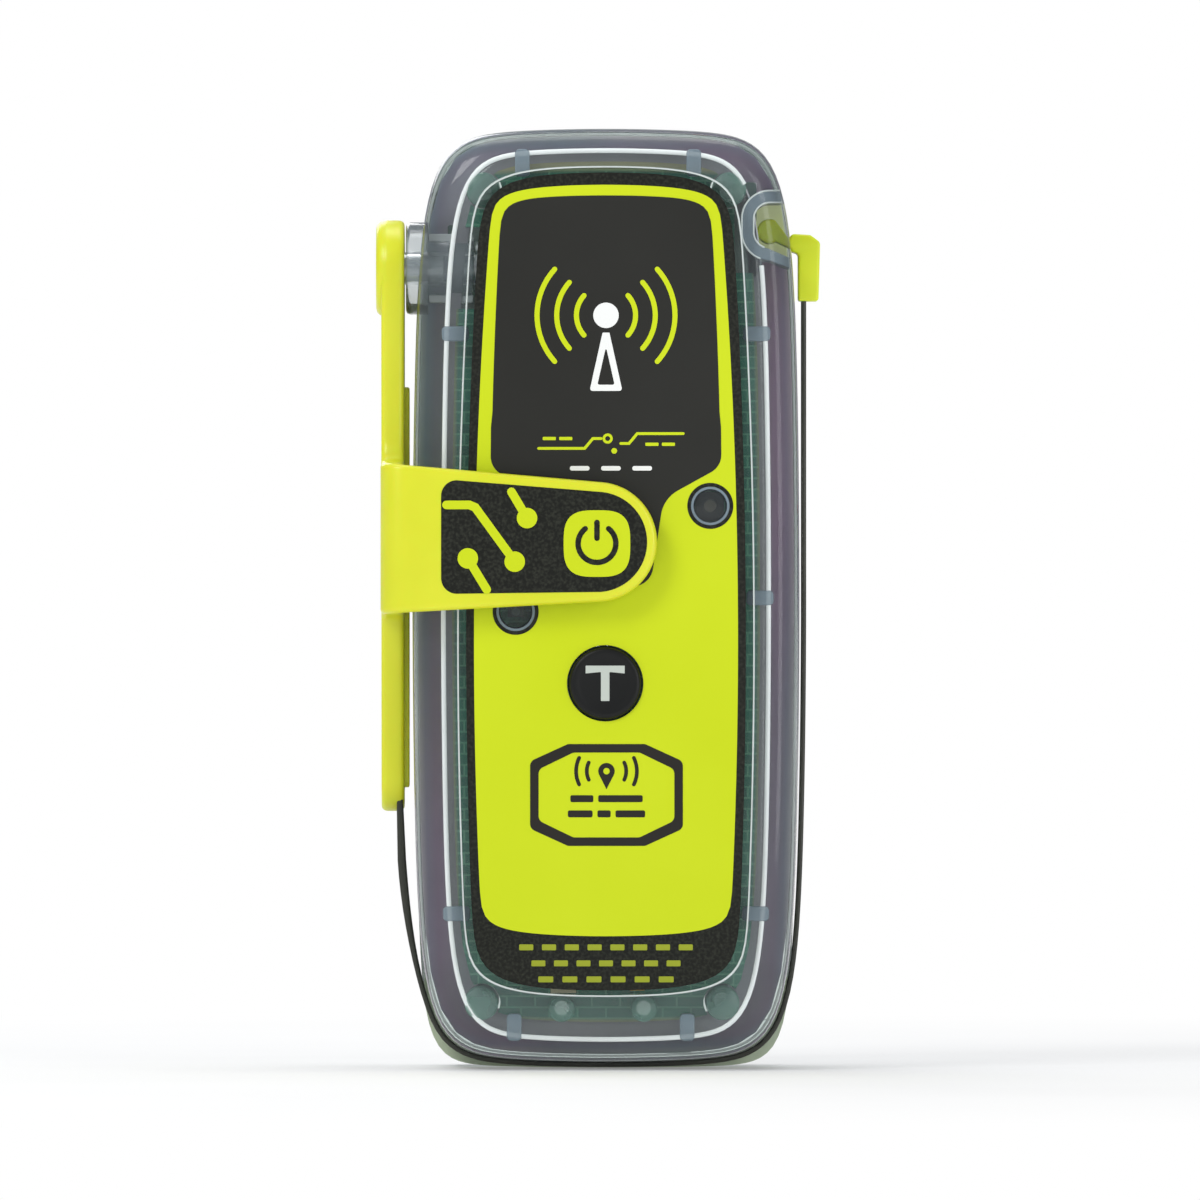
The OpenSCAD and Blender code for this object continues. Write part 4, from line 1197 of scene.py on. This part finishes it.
def tip():
    """Hooked clip on the blade's end."""
    hook, hook_r = (20.0, 45.05), 1.5
    left, right, foot = 23.5, TIP_HIGH.x, TIP_LOW.z
    loop = arc(hook, hook_r, 62, 300, 24)
    loop += rounded([(22.6, 42.55, 0.5), (left, 42.3, 0.5), (left, foot, 0.3), (right - 0.2, foot, 0.4),
                     (right, 43.7, 0.7), (right - 1.2, 44.6, 0.8), (22.4, 44.75, 0.6)], 5)
    # Painted light: the tip is brightened to offset the shade from the case
    plate("clip_hook", [loop], TIP_LOW.y, TIP_HIGH.y, "tip_yellow_painted_light", "tip", bevel=0.3,
          slot="yellow", stands_for=("tip_clip",))


# ---------------------------------------------------------------- back label


def back_label():
    """Plain plate on the back with a band, rows of bars and an empty box for an owner's notes."""
    low, high = node_box("rear_label")
    base, middle = high.y - 0.055, (low.z + high.z) / 2

    def back_ink(name, loops, material="octagon_ink", level=1):
        plate(name, loops, base + 0.02 * (level - 1), base + 0.02 * level, material)

    def frame_loop(inset, r, top=high.z):
        return bar(low.x + inset, high.x - inset, low.z + inset, top - inset, r, 8)

    plate("back_plate", [frame_loop(0, 1.2)], low.y, high.y - 0.06, "film", bevel=0.03,
          slot="plate", stands_for=("rear_label",))
    back_ink("back_frame", [frame_loop(1.0, 0.9), frame_loop(1.35, 0.9)])
    back_ink("back_band", [bar(low.x + 1.6, high.x - 1.6, high.z - 7.0, high.z - 1.8, 0.5)], "lime")
    left, widths = low.x + 2.4, (24, 21, 23, 15)
    rows = [(middle + 7.4 - 1.8 * n, left + wide) for n, wide in enumerate(widths)]
    back_ink("back_rows", [bar(left, right, z, z + 0.6, 0.15) for z, right in rows])
    box_top = middle + 1.8
    back_ink("back_box", [frame_loop(2.4, 0.4, box_top), frame_loop(2.65, 0.3, box_top)])
    back_ink("back_lines", [bar(low.x + 4, high.x - 4, z, z + 0.25, 0.08)
                            for z in (low.z + 5.5, low.z + 8.5, low.z + 11.5)])
    pin = (low.x + 6.0, high.z - 5.9)
    loops = [stroke(arc(pin, r, 25, 155, 14), 0.45) for r in (1.2, 2.2, 3.2)]
    back_ink("back_waves", loops + [circle(pin, 0.5, 24)], level=2)
    title = [(3, 4.2, 3.2, 0.3), (8, 5.9, 5.3, 0.2)]
    back_ink("back_title", [bar(low.x + 11.5, high.x - end, high.z - a, high.z - b, r)
                            for end, a, b, r in title], level=2)


# ---------------------------------------------------------------- carried-over CAD nodes


def cad_finishes():
    """Finishes for the pieces that keep their CAD shape, with small bevels where they show."""
    for material, nodes in CAD_FINISH.items():
        for node in nodes:
            obj = frame["nodes"][node]
            obj.data.materials.clear()
            obj.data.materials.append(MAT[material])
            if node not in LEFT_SHARP:
                soft = obj.modifiers.new("soft_edges", "BEVEL")
                soft.width, soft.segments, soft.limit_method = 0.12 * MM, 2, "ANGLE"
                soft.angle_limit = math.radians(50)


# ---------------------------------------------------------------- stage


def paper_floor():
    """Pale floor that fades to white far off."""
    reach, floor_z = 3000.0, REAR_LOW.z
    corners = [(-reach, -reach), (reach, -reach), (reach, reach), (-reach, reach)]
    mesh = bpy.data.meshes.new("floor")
    mesh.from_pydata([(x * MM, y * MM, floor_z * MM) for x, y in corners], [], [(0, 1, 2, 3)])
    paper = Finish("paper").set(Roughness=0.9)
    paper.tint(paper.noise(20, 2), (0.3, (0.90, 0.90, 0.90, 1)), (0.7, (0.93, 0.93, 0.93, 1)))
    far = paper.add("TexGradient")
    far.gradient_type = "SPHERICAL"
    paper.feed(far.inputs["Vector"], paper.mapped(Scale=(3.4, 3.4, 3.4)))
    glow = paper.add("Emission", Color=(1, 1, 1, 1), Strength=1.0)
    paper.show(paper.mix_shaders(far.outputs["Fac"], glow.outputs[0], paper.bsdf.outputs[0]))
    mesh.materials.append(paper.mat)
    in_scene("floor", mesh)


def lamp(name, spot, target, sides, power):
    """Rectangular lamp that looks at a target."""
    light = bpy.data.lights.new(name, "AREA")
    light.shape, light.size, light.size_y, light.energy = "RECTANGLE", sides[0] * MM, sides[1] * MM, power
    obj = in_scene(name, light)
    obj.location = Vector(spot) * MM
    obj.rotation_euler = (Vector(target) - Vector(spot)).to_track_quat("-Z", "Y").to_euler()


def white_surround():
    """Soft bluish light from all round that the camera sees as plain white."""
    world = bpy.data.worlds.new("studio")
    world.use_nodes = True
    tree = world.node_tree
    sky = tree.nodes["Background"]
    seen = tree.nodes.new("ShaderNodeBackground")
    for node, colour, strength in ((sky, (0.93, 0.96, 1.0, 1), 0.42), (seen, (1, 1, 1, 1), 1.0)):
        node.inputs["Color"].default_value = colour
        node.inputs["Strength"].default_value = strength
    path = tree.nodes.new("ShaderNodeLightPath")
    mix = tree.nodes.new("ShaderNodeMixShader")
    tree.links.new(path.outputs["Is Camera Ray"], mix.inputs[0])
    tree.links.new(sky.outputs[0], mix.inputs[1])
    tree.links.new(seen.outputs[0], mix.inputs[2])
    tree.links.new(mix.outputs[0], tree.nodes["World Output"].inputs["Surface"])
    bpy.context.scene.world = world
    bpy.context.scene.view_settings.view_transform = "Standard"


def photo_camera():
    """Long lens from the front, framed like the photo."""
    width, distance, sensor = 146.1, 2400.0, 36.0
    data = bpy.data.cameras.new("camera")
    data.sensor_width, data.lens = sensor, sensor * distance / width
    data.clip_end = 20
    camera = in_scene("camera", data)
    camera.location = Vector((-0.73, FRONT_Y - distance, -0.06)) * MM
    camera.rotation_euler = (math.pi / 2, 0, 0)
    bpy.context.scene.camera = camera


front_shell()
front_pane()
edge_highlights()
backing()
gussets()
posts()
hinge_housing()
tip_pocket()
rear_shell()
guard_lips()
label()
beacon_symbol()
name_line()
sky_panel()
foot_marks()
buttons()
arm()
inlay()
blade()
tip()
back_label()
cad_finishes()
paper_floor()
front_target, middle_target = (0, -20, 0), (0, 0, 0)
lamp("key", (-420, -560, 460), front_target, (300, 300), 2.4)
lamp("fill", (460, -600, 120), front_target, (260, 460), 1.4)
lamp("top", (0, 60, 620), middle_target, (500, 300), 1.6)
lamp("back", (-260, 620, 360), middle_target, (400, 400), 1.6)
white_surround()
photo_camera()
